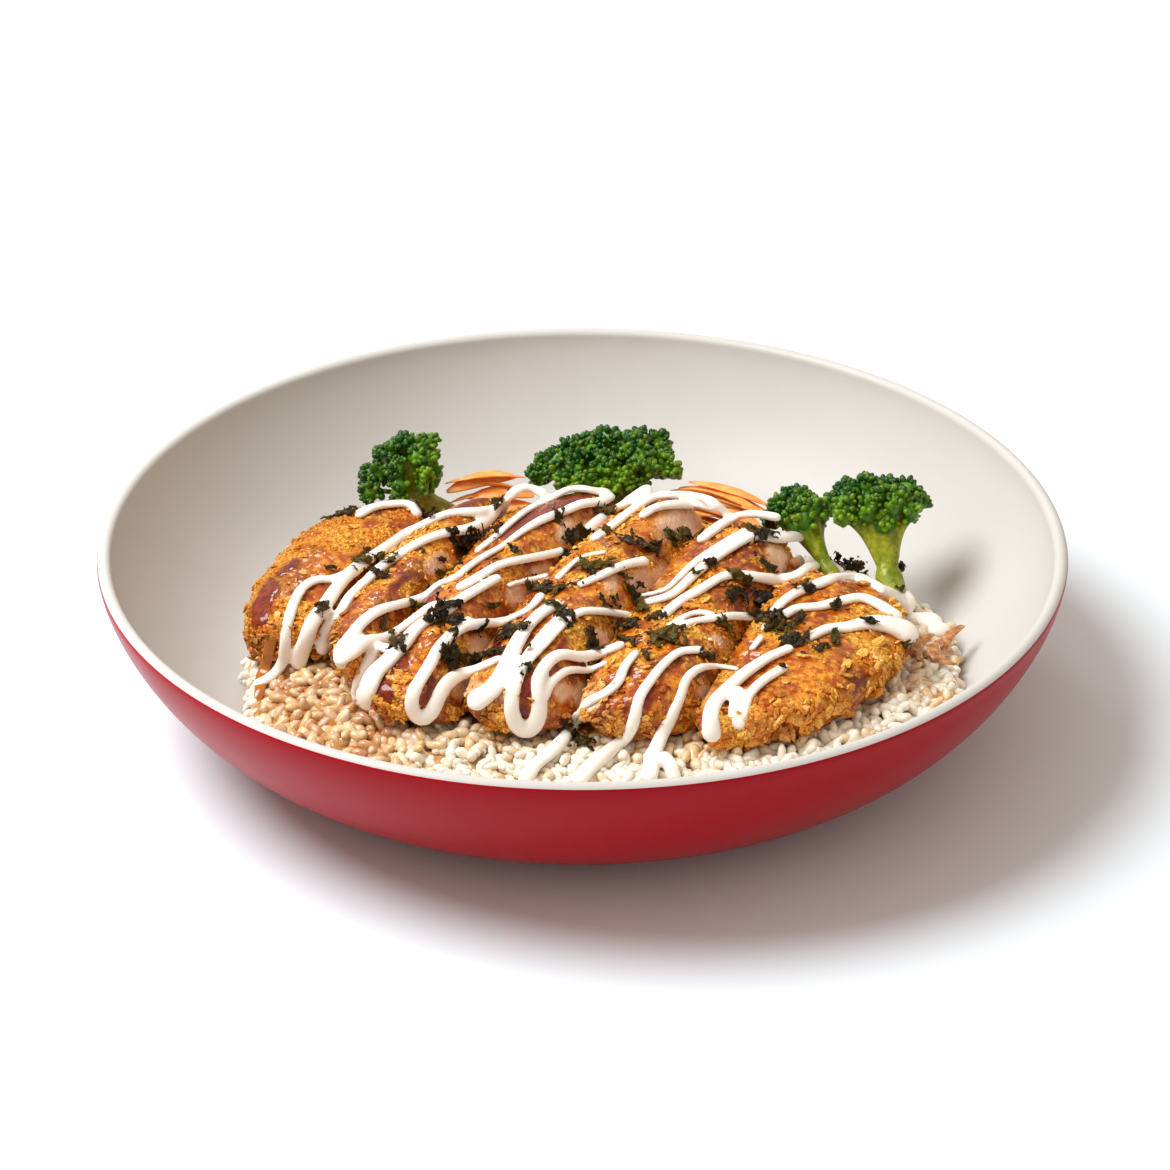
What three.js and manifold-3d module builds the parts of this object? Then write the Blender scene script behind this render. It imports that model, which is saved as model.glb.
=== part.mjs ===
// A shallow bowl of rice with a sliced breaded pork cutlet, teriyaki glaze, mayonnaise, seaweed flakes,
// broccoli, carrot shreds and fried onion. Millimetres, +Z up, origin under the middle of the bowl,
// the diner sits on the -Y side.
import * as THREE from 'three';
import { mergeVertices } from 'three/addons/utils/BufferGeometryUtils.js';
import Module from 'manifold-3d';

const wasm = await Module();
wasm.setup();

// Bowl sizes
const RIM_RADIUS = 120;
const BOWL_HEIGHT = 46;
const FOOT_HEIGHT = 2.9;
const FOOT_OUTER_RADIUS = 62;
const FOOT_INNER_RADIUS = 56;
const BASE_RADIUS = 72.4;
const WALL_THICKNESS = 3.5;
const INNER_FLOOR_Z = 6.5;
const INNER_FLOOR_RADIUS = 70;
const WALL_FLATNESS = 1.381;
const WALL_ROUNDNESS = 2.097;
const BOWL_SEGMENTS = 44;
const WALL_STEPS = 6;
const WALL_STEP_GROWTH = 2.2;

// Rice sizes
const RICE_HALF_WIDTH = 88;
const RICE_SQUARENESS = 2.4;
const RICE_SHIFT_X = 4.8;
const RICE_SHIFT_Y = -12;
const RICE_FRONT = 79;
const RICE_BACK = 66;
const RICE_LEVEL = 21.5;
const RICE_EDGE_HEIGHT = 1.2;
const RICE_EDGE_STEEPNESS = 6;
const RICE_WAVINESS = 2;
const RICE_SECTORS = 32;
const RICE_TOP_RINGS = [0.5, 0.76, 0.9, 0.97, 0.992];
const RICE_BOTTOM_RINGS = [0.45, 0.75, 0.9, 1];
const RICE_FLOOR_GAP = 1;
const GRAIN_LENGTH = 7;
const GRAIN_WIDTH = 3.4;
const GRAIN_COUNT = 24;
const GRAIN_RANGE = [0.62, 0.97];
const GRAIN_CLEARANCE = 0.35;

// Cutlet: cut lines at the height CUT_LEVEL are x = at + slope * y + bend * y * y,
// and each cut face leans to the left by lean millimetres for each millimetre of height.
const CUT_LEVEL = 30;
const CUT_GAP = 0.5;
const CUTS = [
  { at: -83.4, slope: 0.2, bend: 0.0055, lean: 0.1 },
  { at: -55.6, slope: 0.386, bend: 0.00355, lean: 0.45 },
  { at: -35.5, slope: 0.41, bend: 0, lean: 0.6 },
  { at: -9.5, slope: 0.5, bend: 0.002, lean: 0.75 },
  { at: 19.5, slope: 0.4, bend: 0, lean: 0.8 },
  { at: 49.6, slope: 0.4, bend: 0, lean: 0.65 },
  { at: 76.9, slope: -0.42, bend: -0.0128, lean: 0.05 },
];
// Each slice: its front and back end in Y with their skew across it, and the height of its left and right edge
const SLICES = [
  { front: -23, frontSkew: -5, back: 40, backSkew: 1, left: 32.5, right: 34.5 },
  { front: -38, frontSkew: -14, back: 41, backSkew: 4, left: 31.5, right: 37 },
  { front: -56, frontSkew: -6, back: 43, backSkew: 1, left: 32, right: 39 },
  { front: -60.5, frontSkew: -1, back: 41, backSkew: -6, left: 32.5, right: 40 },
  { front: -62.5, frontSkew: 1, back: 28, backSkew: -20, left: 33, right: 38 },
  { front: -66, frontSkew: 6, back: 2, backSkew: -16, left: 33, right: 34.5 },
];
const SLICE_AROUND = 8;
const SLICE_STATIONS = 9;
const SLICE_END_SHARE = 0.985;
const SLICE_RICE_GAP = 1;
const RICE_CLEARANCE = 0.6;
const END_BLUNTNESS = 5;
const CRUST_ROUNDNESS = 0.6;
const CUT_ROUNDNESS = 0.36;
const SECTION_MIDDLE = -0.2;
const CROWN = 1.6;
const FRONT_SAG_START = -10;
const FRONT_SAG = 0.045;
const CRUMB_RELIEF = 0.7;
const CRUMB_SCALE = 4.5;
const HEIGHT_PASSES = 8;

// The space over each slice, which its toppings keep to
const SPACE_REACH = 40;
const SPACE_BOTTOM = 8;
const SPACE_TOP = 60;
const SPACE_FRONT = -90;
const SPACE_BACK = 70;
const SPACE_STEP = 8;

// Mayonnaise strands: where each runs over the cutlet in plan
const MAYO_WIDTH = 3.8;
const MAYO_HEIGHT = 3;
const MAYO_STEP = 13;
const MAYO_RISE = 0.9;
const MAYO_TAPER = 0.6;
const MAYO_DRAPE = 4.5;
const STRANDS = [
  [[-59, -1], [-65, -4], [-70, -13], [-73, -22]],
  [[-70, -22], [-66, -20], [-60, -7], [-53, 12], [-44, 26], [-33, 29], [-24, 34]],
  [[-24, 31], [-33, 17], [-42, 9], [-50, 0], [-57, -14], [-63, -22]],
  [[-58, 30], [-53, 34], [-47, 35], [-43, 32]],
  [[4, 4], [-5, 9], [-16, 0], [-28, -14], [-40, -12], [-49, -20], [-55, -30], [-58, -38]],
  [[-56, -38], [-52, -33], [-44, -31], [-34, -20], [-24, -14], [-20, -10]],
  [[-53, -42], [-50, -35], [-44, -33], [-37, -29], [-33, -25]],
  [[-7, -11], [-11, -16], [-16, -23], [-25, -28], [-32, -36], [-36, -44], [-40, -56]],
  [[-40, -56], [-37, -58], [-34, -53], [-31, -48], [-22, -44]],
  [[-5, -23], [-9, -29], [-14, -37], [-19, -48], [-24, -57]],
  [[-5, -30], [-10, -41], [-15, -55], [-16, -61], [-12, -60], [-9, -53], [-4, -45], [4, -38], [12, -38]],
  [[14, -40], [10, -50], [4, -56], [-1, -59]],
  [[26, -43], [20, -46], [14, -56], [11, -62]],
  [[37, -45], [28, -46], [24, -53], [21, -61]],
  [[48, -38], [40, -45], [34, -55], [31, -62], [30, -66]],
  [[47, -49], [41, -57], [38, -64], [36, -66], [36, -60]],
  [[-24, 33], [-21, 37], [-16, 40], [-11, 40], [-7, 37]],
  [[-27, 10], [-19, 19], [-9, 30], [-2, 38], [3, 40], [8, 38]],
  [[5, 36], [0, 32], [-9, 20], [-18, 10], [-25, 3], [-30, -5]],
  [[0, -14], [6, -8], [12, 0], [17, 4]],
  [[19, 37], [14, 38], [7, 35], [1, 25]],
  [[37, 29], [34, 35], [28, 37], [20, 33], [12, 22], [4, 14], [-2, 7]],
  [[57, 10], [55, 16], [50, 19], [44, 27], [39, 26], [32, 20], [27, 11], [24, -7]],
  [[44, 22], [39, 16], [32, 7], [27, 0], [23, -10], [14, -16]],
  [[19, -25], [24, -19], [32, -12], [38, -8], [49, 0], [57, 6], [61, 3]],
  [[46, -22], [51, -12], [57, -5], [65, -1], [72, -4], [77, -10], [80, -12]],
  [[39, -39], [44, -30], [51, -19], [62, -14], [68, -13], [74, -17], [79, -28]],
  [[54, -34], [60, -27], [68, -24], [77, -21]],
  [[17, -36], [24, -28], [31, -25], [42, -17]],
];
// Strands that have run down onto the rice
const RICE_STRANDS = [
  [[-75, -28], [-77, -30], [-80, -33]],
  [[-3, -64], [-7, -69], [-12, -75]],
  [[8, -67], [4, -70], [-1, -76]],
  [[18, -68], [15, -72], [14, -77]],
];
// A large drop of mayonnaise on the rice at the right
const DROP = { at: [87, -6], radius: 4.6, flatness: 0.8 };

// Seaweed flakes: place in plan and width of each
const FLAKE_THICKNESS = 0.8;
const FLAKE_LIFT = 0.5;
const FLAKE_CRINKLE = 1.1;
const FLAKE_LONG = 1.15;
const FLAKE_SHORT = 0.6;
const FLAKE_RIM = 5;
const FLAKES = [
  [-52, 12, 12], [-65, -13, 9], [-28, 12, 12], [-17, -34, 12], [-6, -13, 13],
  [14, 7, 13], [27, 21, 12], [20, -38, 13], [43, -14, 13], [46, 20, 10], [53, -29, 13],
];

const GOLDEN_ANGLE = Math.PI * (3 - Math.sqrt(5));

// Broccoli florets: the crown's middle and half sizes, how far its top leans to the right,
// how many lobes it has, and where its stem is cut
const LOBE_BUMP = 0.13;
const LOBE_BUMP_SCALE = 1.7;
const FLORETS = [
  { name: 'broccoli_left', crown: [-48, 50, 34], half: [7, 6, 9], lean: 0.45, lobes: 5, lobe: 5.3,
    foot: [-37, 50, 26], stem: 4.6, seed: 11 },
  { name: 'broccoli_centre', crown: [5, 57, 33], half: [14, 8, 6.5], lean: 0.6, lobes: 8, lobe: 6,
    foot: [9, 49.5, 19.5], stem: 4.6, seed: 23 },
  { name: 'broccoli_right_small', crown: [55, 32, 33], half: [5, 4, 4], lean: 0, lobes: 4, lobe: 4.4,
    foot: [66, 15, 21], stem: 2.8, seed: 37 },
  { name: 'broccoli_right_large', crown: [75, 26, 38.5], half: [9, 5.5, 4.6], lean: 0, lobes: 5, lobe: 5.4,
    foot: [79, 8, 20.5], stem: 3.9, seed: 51 },
];

// Carrot shreds: two heaps behind the cutlet, each with the middle of its mound and the way its shreds point
const SHRED_WIDTH = 2.6;
const SHRED_THICKNESS = 1.3;
const SHRED_DROOP = 1.2;
const SHRED_SPREAD = 40;
const SHRED_HEAPS = [
  { name: 'carrot_shreds_left', at: [-23.5, 49], half: [5, 3.4], top: 34, turn: 4, length: 15, count: 5,
    seed: 5 },
  { name: 'carrot_shreds_right', at: [36, 46], half: [9, 4], top: 33, turn: -26, length: 24, count: 5,
    seed: 8 },
];

// Fried onion: bent strips on the rice beside the right end of the cutlet
const ONION_FLATNESS = 0.35;
const ONION_RISE = 0.8;
const ONIONS = [
  { name: 'onion_piece_1', at: [84.5, -17, 23], length: 9, width: 4.5, turn: 70, curl: 1.1 },
  { name: 'onion_piece_2', at: [89.5, -19, 22.5], length: 9, width: 4, turn: 110, curl: 1.5 },
  { name: 'onion_piece_3', at: [92, -11, 22], length: 10, width: 3.5, turn: 60, curl: 0.6 },
];

const { clamp, degToRad, lerp: mix, smoothstep } = THREE.MathUtils;
const UP = new THREE.Vector3(0, 0, 1);

// Repeatable random numbers
function randomFrom(seed) {
  let state = seed >>> 0;
  return () => {
    state = (state + 0x6d2b79f5) >>> 0;
    let t = Math.imul(state ^ (state >>> 15), 1 | state);
    t = (t + Math.imul(t ^ (t >>> 7), 61 | t)) ^ t;
    return ((t ^ (t >>> 14)) >>> 0) / 4294967296;
  };
}

function hash3(i, j, k) {
  const s = Math.sin(i * 12.9898 + j * 78.233 + k * 37.719) * 43758.5453;
  return s - Math.floor(s);
}

// Smooth noise between -1 and 1
function noise3(x, y, z) {
  const i = Math.floor(x);
  const j = Math.floor(y);
  const k = Math.floor(z);
  const fade = (t) => t * t * (3 - 2 * t);
  const u = fade(x - i);
  const v = fade(y - j);
  const w = fade(z - k);
  const row = (dj, dk) => mix(hash3(i, j + dj, k + dk), hash3(i + 1, j + dj, k + dk), u);
  return 2 * mix(mix(row(0, 0), row(1, 0), v), mix(row(0, 1), row(1, 1), v), w) - 1;
}

// A closed body through rings of equal length, each end closed to the middle of its last ring
function loft(rings) {
  const count = rings[0].length;
  const positions = [];
  for (const ring of rings) {
    for (const p of ring) positions.push(p.x, p.y, p.z);
  }
  const middle = (ring) => ring.reduce((sum, p) => sum.add(p), new THREE.Vector3()).divideScalar(count);
  const first = middle(rings[0]);
  const last = middle(rings[rings.length - 1]);
  positions.push(first.x, first.y, first.z, last.x, last.y, last.z);
  const firstIndex = rings.length * count;
  const index = [];
  for (let i = 0; i < count; i++) {
    const next = (i + 1) % count;
    index.push(firstIndex, next, i);
    index.push(firstIndex + 1, firstIndex - count + i, firstIndex - count + next);
  }
  for (let r = 0; r + 1 < rings.length; r++) {
    for (let i = 0; i < count; i++) {
      const next = (i + 1) % count;
      const a = r * count + i;
      const b = r * count + next;
      index.push(a, b, b + count, a, b + count, a + count);
    }
  }
  const geometry = new THREE.BufferGeometry();
  geometry.setAttribute('position', new THREE.Float32BufferAttribute(positions, 3));
  geometry.setIndex(index);
  return geometry;
}

function toSolid(geometry) {
  const bare = geometry.clone();
  bare.deleteAttribute('normal');
  bare.deleteAttribute('uv');
  const merged = mergeVertices(bare, 1e-4);
  const vertProperties = Float32Array.from(merged.attributes.position.array);
  const triVerts = Uint32Array.from(merged.index.array);
  let solid = new wasm.Manifold(new wasm.Mesh({ numProp: 3, vertProperties, triVerts }));
  if (solid.volume() < 0) {
    const flipped = triVerts.map((_, n) => triVerts[n - (n % 3) + (2 - (n % 3))]);
    solid = new wasm.Manifold(new wasm.Mesh({ numProp: 3, vertProperties, triVerts: flipped }));
  }
  return solid;
}

function toGeometry(solid) {
  const mesh = solid.getMesh();
  const geometry = new THREE.BufferGeometry();
  const positions = new Float32Array((mesh.vertProperties.length / mesh.numProp) * 3);
  for (let i = 0; i < positions.length / 3; i++) {
    for (let c = 0; c < 3; c++) positions[i * 3 + c] = mesh.vertProperties[i * mesh.numProp + c];
  }
  geometry.setAttribute('position', new THREE.BufferAttribute(positions, 3));
  geometry.setIndex(Array.from(mesh.triVerts));
  geometry.computeVertexNormals();
  return geometry;
}

const fuse = (solids) => solids.reduce((sum, solid) => sum.add(solid));

// The largest connected body, without loose scraps
function largestBody(solid) {
  return solid.decompose().reduce((best, piece) => (piece.volume() > best.volume() ? piece : best));
}

// A tube of changing radius along a curve, with rounded ends
function tubeAlong(curve, radiusAt, sides, steps, flatness = 1) {
  const frames = curve.computeFrenetFrames(steps, false);
  const rings = [];
  for (let s = 0; s <= steps; s++) {
    const t = s / steps;
    const centre = curve.getPointAt(t);
    const radius = radiusAt(t);
    const ring = [];
    for (let i = 0; i < sides; i++) {
      const angle = (i / sides) * 2 * Math.PI;
      const offset = frames.normals[s].clone().multiplyScalar(Math.cos(angle) * radius);
      offset.addScaledVector(frames.binormals[s], Math.sin(angle) * radius * flatness);
      ring.push(centre.clone().add(offset));
    }
    rings.push(ring);
  }
  return loft(rings);
}

// Bowl: a shallow coupe with a rounded lip and a low foot ring
const wallShape = (t) => Math.pow(1 - Math.pow(1 - t, WALL_FLATNESS), 1 / WALL_ROUNDNESS);
const outerRadius = (t) => mix(BASE_RADIUS, RIM_RADIUS, wallShape(t));
const INNER_RIM_RADIUS = RIM_RADIUS - WALL_THICKNESS;
const innerRadius = (t) => mix(INNER_FLOOR_RADIUS, INNER_RIM_RADIUS, wallShape(t));

// Height of the bowl's inside at a radius
function bowlFloor(radius) {
  if (radius <= INNER_FLOOR_RADIUS) return INNER_FLOOR_Z;
  const share = Math.min(1, (radius - INNER_FLOOR_RADIUS) / (INNER_RIM_RADIUS - INNER_FLOOR_RADIUS));
  const t = 1 - Math.pow(1 - Math.pow(share, WALL_ROUNDNESS), 1 / WALL_FLATNESS);
  return INNER_FLOOR_Z + (BOWL_HEIGHT - INNER_FLOOR_Z) * t;
}

function bowlGeometry() {
  const lip = WALL_THICKNESS / 2;
  const lipBase = BOWL_HEIGHT - lip;
  const profile = [new THREE.Vector2(0, FOOT_HEIGHT)];
  profile.push(new THREE.Vector2(FOOT_INNER_RADIUS, FOOT_HEIGHT));
  profile.push(new THREE.Vector2(FOOT_INNER_RADIUS + 1, 0));
  profile.push(new THREE.Vector2(FOOT_OUTER_RADIUS - 1, 0));
  profile.push(new THREE.Vector2(FOOT_OUTER_RADIUS, FOOT_HEIGHT));
  for (let i = 0; i <= WALL_STEPS; i++) {
    const t = Math.pow(i / WALL_STEPS, WALL_STEP_GROWTH);
    profile.push(new THREE.Vector2(outerRadius(t), mix(FOOT_HEIGHT, lipBase, t)));
  }
  for (const angle of [45, 90, 135]) {
    const a = degToRad(angle);
    profile.push(new THREE.Vector2(RIM_RADIUS - lip + lip * Math.cos(a), lipBase + lip * Math.sin(a)));
  }
  for (let i = WALL_STEPS; i >= 0; i--) {
    const t = Math.pow(i / WALL_STEPS, WALL_STEP_GROWTH);
    profile.push(new THREE.Vector2(innerRadius(t), mix(INNER_FLOOR_Z, lipBase, t)));
  }
  profile.push(new THREE.Vector2(0, INNER_FLOOR_Z));
  const geometry = new THREE.LatheGeometry(profile, BOWL_SEGMENTS);
  geometry.rotateX(Math.PI / 2);
  return geometry;
}

// Rice heap: outline radius round the bowl and height of its top
function riceOutline(angle) {
  const depth = Math.sin(angle) > 0 ? RICE_BACK : RICE_FRONT;
  const across = Math.pow(Math.abs(Math.cos(angle)) / RICE_HALF_WIDTH, RICE_SQUARENESS);
  const along = Math.pow(Math.abs(Math.sin(angle)) / depth, RICE_SQUARENESS);
  const wave = noise3(3 * Math.cos(angle), 3 * Math.sin(angle), 5.5);
  return Math.pow(across + along, -1 / RICE_SQUARENESS) + RICE_WAVINESS * wave;
}

function riceTop(x, y) {
  const dx = x - RICE_SHIFT_X;
  const dy = y - RICE_SHIFT_Y;
  const angle = Math.atan2(dy, dx);
  const outline = riceOutline(angle);
  const share = Math.min(1, Math.hypot(dx, dy) / outline);
  const edgeX = RICE_SHIFT_X + outline * Math.cos(angle);
  const edgeY = RICE_SHIFT_Y + outline * Math.sin(angle);
  const edgeZ = bowlFloor(Math.hypot(edgeX, edgeY)) + RICE_FLOOR_GAP + RICE_EDGE_HEIGHT;
  return edgeZ + (RICE_LEVEL - edgeZ) * Math.sqrt(1 - Math.pow(share, RICE_EDGE_STEEPNESS));
}

function riceCore() {
  const ringAt = (share, height) => {
    const ring = [];
    for (let s = 0; s < RICE_SECTORS; s++) {
      const angle = (s / RICE_SECTORS) * 2 * Math.PI;
      const radius = riceOutline(angle) * share;
      const x = RICE_SHIFT_X + radius * Math.cos(angle);
      const y = RICE_SHIFT_Y + radius * Math.sin(angle);
      ring.push(new THREE.Vector3(x, y, height(x, y)));
    }
    return ring;
  };
  const underside = (x, y) => bowlFloor(Math.hypot(x, y)) + RICE_FLOOR_GAP;
  const bottom = RICE_BOTTOM_RINGS.map((share) => ringAt(share, underside));
  const top = RICE_TOP_RINGS.map((share) => ringAt(share, riceTop)).reverse();
  return loft([...bottom, ...top]);
}

// Rice core raised a little: what is cut by it clears the rice
const riceGuard = toSolid(riceCore()).translate([0, 0, RICE_CLEARANCE]);

// Cutlet surfaces
const cutLine = (cut, y) => cut.at + cut.slope * y + cut.bend * y * y;

function sliceTop(k, u, y) {
  const slice = SLICES[k];
  const sag = FRONT_SAG * Math.max(0, FRONT_SAG_START - y);
  return mix(slice.left, slice.right, u) + CROWN * (1 - (2 * u - 1) ** 2) - sag;
}

// A point of slice k: u across it, y along it, share of its height from rice to crust
function slicePoint(k, u, y, share) {
  const left = CUTS[k];
  const right = CUTS[k + 1];
  const flatX = mix(cutLine(left, y) + CUT_GAP / 2, cutLine(right, y) - CUT_GAP / 2, u);
  const lean = mix(left.lean, right.lean, u);
  const z = mix(riceTop(flatX, y) + SLICE_RICE_GAP, sliceTop(k, u, y), share);
  return new THREE.Vector3(flatX - (z - CUT_LEVEL) * lean, y, z);
}

const sliceFront = (k, u) => SLICES[k].front + SLICES[k].frontSkew * (u - 0.5);
const sliceBack = (k, u) => SLICES[k].back + SLICES[k].backSkew * (u - 0.5);
const blunt = (distance, power) => Math.pow(1 - Math.pow(Math.min(1, Math.abs(distance)), power), 1 / power);

function sideRoundness(k, side) {
  const crusted = (k === 0 && side < 0) || (k === SLICES.length - 1 && side > 0);
  return crusted ? CRUST_ROUNDNESS : CUT_ROUNDNESS;
}

function sliceBody(k) {
  const rings = [];
  for (let s = 0; s <= SLICE_STATIONS; s++) {
    const along = Math.sin((s / SLICE_STATIONS - 0.5) * Math.PI * SLICE_END_SHARE);
    const size = blunt(along, END_BLUNTNESS);
    const ring = [];
    for (let i = 0; i < SLICE_AROUND; i++) {
      const angle = ((i + 0.5) / SLICE_AROUND) * 2 * Math.PI;
      const roundness = sideRoundness(k, Math.cos(angle));
      const round = (value) => Math.sign(value) * Math.pow(Math.abs(value), roundness);
      const p = round(Math.cos(angle)) * size;
      const q = SECTION_MIDDLE + (round(Math.sin(angle)) - SECTION_MIDDLE) * size;
      const u = (p + 1) / 2;
      const y = mix(sliceFront(k, u), sliceBack(k, u), (along + 1) / 2);
      const point = slicePoint(k, u, y, (q + 1) / 2);
      const crust = smoothstep(q, -0.1, 0.5);
      point.z += crust * CRUMB_RELIEF * noise3(point.x / CRUMB_SCALE, point.y / CRUMB_SCALE, k);
      ring.push(point);
    }
    rings.push(ring);
  }
  return loft(rings);
}

// Height of slice k at a place in plan, or -Infinity beside it
function sliceHeight(k, x, y) {
  const left = CUTS[k];
  const right = CUTS[k + 1];
  const from = cutLine(left, y) + CUT_GAP / 2;
  const to = cutLine(right, y) - CUT_GAP / 2;
  let u = 0.5;
  let z = CUT_LEVEL;
  for (let pass = 0; pass < HEIGHT_PASSES; pass++) {
    const lean = mix(left.lean, right.lean, clamp(u, 0, 1));
    u = (x + (z - CUT_LEVEL) * lean - from) / (to - from);
    const inside = clamp(u, 0, 1);
    const along = (2 * (y - sliceFront(k, inside))) / (sliceBack(k, inside) - sliceFront(k, inside)) - 1;
    const size = blunt(along, END_BLUNTNESS);
    if (size <= 0) return -Infinity;
    const power = 2 / sideRoundness(k, 2 * inside - 1);
    const q = SECTION_MIDDLE + (blunt((2 * inside - 1) / size, power) - SECTION_MIDDLE) * size;
    z = slicePoint(k, inside, y, (q + 1) / 2).z;
  }
  return u < -0.02 || u > 1.02 ? -Infinity : z;
}

function foodHeight(x, y) {
  const heights = SLICES.map((_, k) => sliceHeight(k, x, y));
  return Math.max(riceTop(x, y), ...heights);
}

// Space above slice k, between the planes of its two cuts
function sliceSpace(k) {
  const left = k === 0 ? -SPACE_REACH : CUT_GAP / 2;
  const right = k === SLICES.length - 1 ? SPACE_REACH : -CUT_GAP / 2;
  const rings = [];
  for (let y = SPACE_FRONT; y <= SPACE_BACK; y += SPACE_STEP) {
    const corner = (cut, offset, z) => {
      return new THREE.Vector3(cutLine(cut, y) + offset - (z - CUT_LEVEL) * cut.lean, y, z);
    };
    rings.push([
      corner(CUTS[k], left, SPACE_BOTTOM),
      corner(CUTS[k + 1], right, SPACE_BOTTOM),
      corner(CUTS[k + 1], right, SPACE_TOP),
      corner(CUTS[k], left, SPACE_TOP),
    ]);
  }
  return toSolid(loft(rings));
}

// Heights along a path, smoothed as a soft strand drapes
function drape(points) {
  const heights = points.map((p) => foodHeight(p.x, p.y));
  const near = (i, reach) => points.map((_, j) => j).filter((j) => points[i].distanceTo(points[j]) <= reach);
  const raised = points.map((_, i) => Math.max(...near(i, MAYO_DRAPE / 3).map((j) => heights[j])));
  return points.map((_, i) => {
    const window = near(i, MAYO_DRAPE);
    return window.reduce((sum, j) => sum + raised[j], 0) / window.length;
  });
}

// A strand laid along its route, wider at its foot than at its top
function mayoStrand(route) {
  const corners = route.map(([x, y]) => new THREE.Vector3(x, y, 0));
  const plan = new THREE.CatmullRomCurve3(corners, false, 'centripetal');
  const steps = Math.max(2, Math.round(plan.getLength() / MAYO_STEP));
  const points = plan.getSpacedPoints(steps * 3);
  const heights = drape(points);
  points.forEach((point, i) => point.setZ(heights[i] + MAYO_RISE));
  const rings = [];
  for (let s = 0; s <= steps; s++) {
    const before = points[Math.max(0, 3 * s - 1)];
    const after = points[Math.min(points.length - 1, 3 * s + 1)];
    const side = new THREE.Vector3(before.y - after.y, after.x - before.x, 0).normalize();
    const size = s === 0 || s === steps ? MAYO_TAPER : 1;
    const corner = (across, up) => points[3 * s].clone()
      .addScaledVector(side, (across * size * MAYO_WIDTH) / 2)
      .add(new THREE.Vector3(0, 0, (up * size * MAYO_HEIGHT) / 2));
    rings.push([corner(-1, -1), corner(1, -1), corner(MAYO_TAPER, 1), corner(-MAYO_TAPER, 1)]);
  }
  return toSolid(loft(rings));
}

// A crinkled thin flake lying on the food
function flake([x, y, width], seed) {
  const random = randomFrom(seed);
  const turn = random() * Math.PI;
  const rims = [[], []];
  for (let i = 0; i < FLAKE_RIM; i++) {
    const angle = (i / FLAKE_RIM) * 2 * Math.PI;
    const reach = (width / 2) * (0.75 + 0.5 * random());
    const long = Math.cos(angle) * reach * FLAKE_LONG;
    const short = Math.sin(angle) * reach * FLAKE_SHORT;
    const px = x + long * Math.cos(turn) - short * Math.sin(turn);
    const py = y + long * Math.sin(turn) + short * Math.cos(turn);
    const pz = foodHeight(px, py) + FLAKE_LIFT + FLAKE_CRINKLE * random();
    rims[0].push(new THREE.Vector3(px, py, pz - FLAKE_THICKNESS));
    rims[1].push(new THREE.Vector3(px, py, pz));
  }
  return toSolid(loft(rims));
}

// Each slice with the mayonnaise and seaweed that lie on it
function slices() {
  const strands = STRANDS.map(mayoStrand);
  const flakes = FLAKES.map((place, i) => flake(place, 100 + i));
  const toppings = fuse([...strands, ...flakes]);
  return SLICES.map((_, k) => {
    const own = toppings.intersect(sliceSpace(k));
    return largestBody(toSolid(sliceBody(k)).add(own).subtract(riceGuard));
  });
}

// One lobe of a floret's crown, a bumpy ball
function lobeAt(place, radius, index) {
  const ball = new THREE.IcosahedronGeometry(radius, 1);
  const position = ball.attributes.position;
  for (let v = 0; v < position.count; v++) {
    const point = new THREE.Vector3().fromBufferAttribute(position, v);
    const spot = point.clone().multiplyScalar(LOBE_BUMP_SCALE);
    point.multiplyScalar(1 + LOBE_BUMP * noise3(spot.x + index, spot.y, spot.z)).add(place);
    position.setXYZ(v, point.x, point.y, point.z);
  }
  return toSolid(ball);
}

// A floret: lobed crown on a flared stem
function floret({ crown, half, lean, lobes, lobe, foot, stem, seed }) {
  const random = randomFrom(seed);
  const middle = new THREE.Vector3(...crown);
  const base = new THREE.Vector3(...foot);
  const solids = [];
  for (let i = 0; i < lobes; i++) {
    const rise = 1 - (1.5 * (i + 0.5)) / lobes;
    const ring = Math.sqrt(1 - rise * rise);
    const angle = i * GOLDEN_ANGLE;
    const radius = lobe * (0.85 + 0.3 * random());
    const place = new THREE.Vector3(ring * Math.cos(angle), ring * Math.sin(angle), rise);
    place.multiply(new THREE.Vector3(...half));
    place.x += lean * place.z;
    solids.push(lobeAt(place.add(middle), radius, i));
  }
  const curve = new THREE.CatmullRomCurve3([base, base.clone().lerp(middle, 0.5), middle]);
  const flare = (half[0] + half[1]) / 2 / stem - 0.4;
  solids.push(toSolid(tubeAlong(curve, (t) => stem * (1 + flare * t ** 3), 7, 3)));
  return largestBody(fuse(solids));
}

// A flat strip, pointed at both ends and drooping a little
function shred(centre, axis, reach) {
  const points = [-1, -0.35, 0.35, 1].map((t) => {
    return centre.clone().addScaledVector(axis, t * reach).add(new THREE.Vector3(0, 0, -SHRED_DROOP * t * t));
  });
  const radiusAt = (t) => (SHRED_WIDTH / 2) * (0.35 + 0.65 * Math.sin(Math.PI * mix(0.12, 0.88, t)));
  const curve = new THREE.CatmullRomCurve3(points);
  return toSolid(tubeAlong(curve, radiusAt, 4, 3, SHRED_THICKNESS / SHRED_WIDTH));
}

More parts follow.
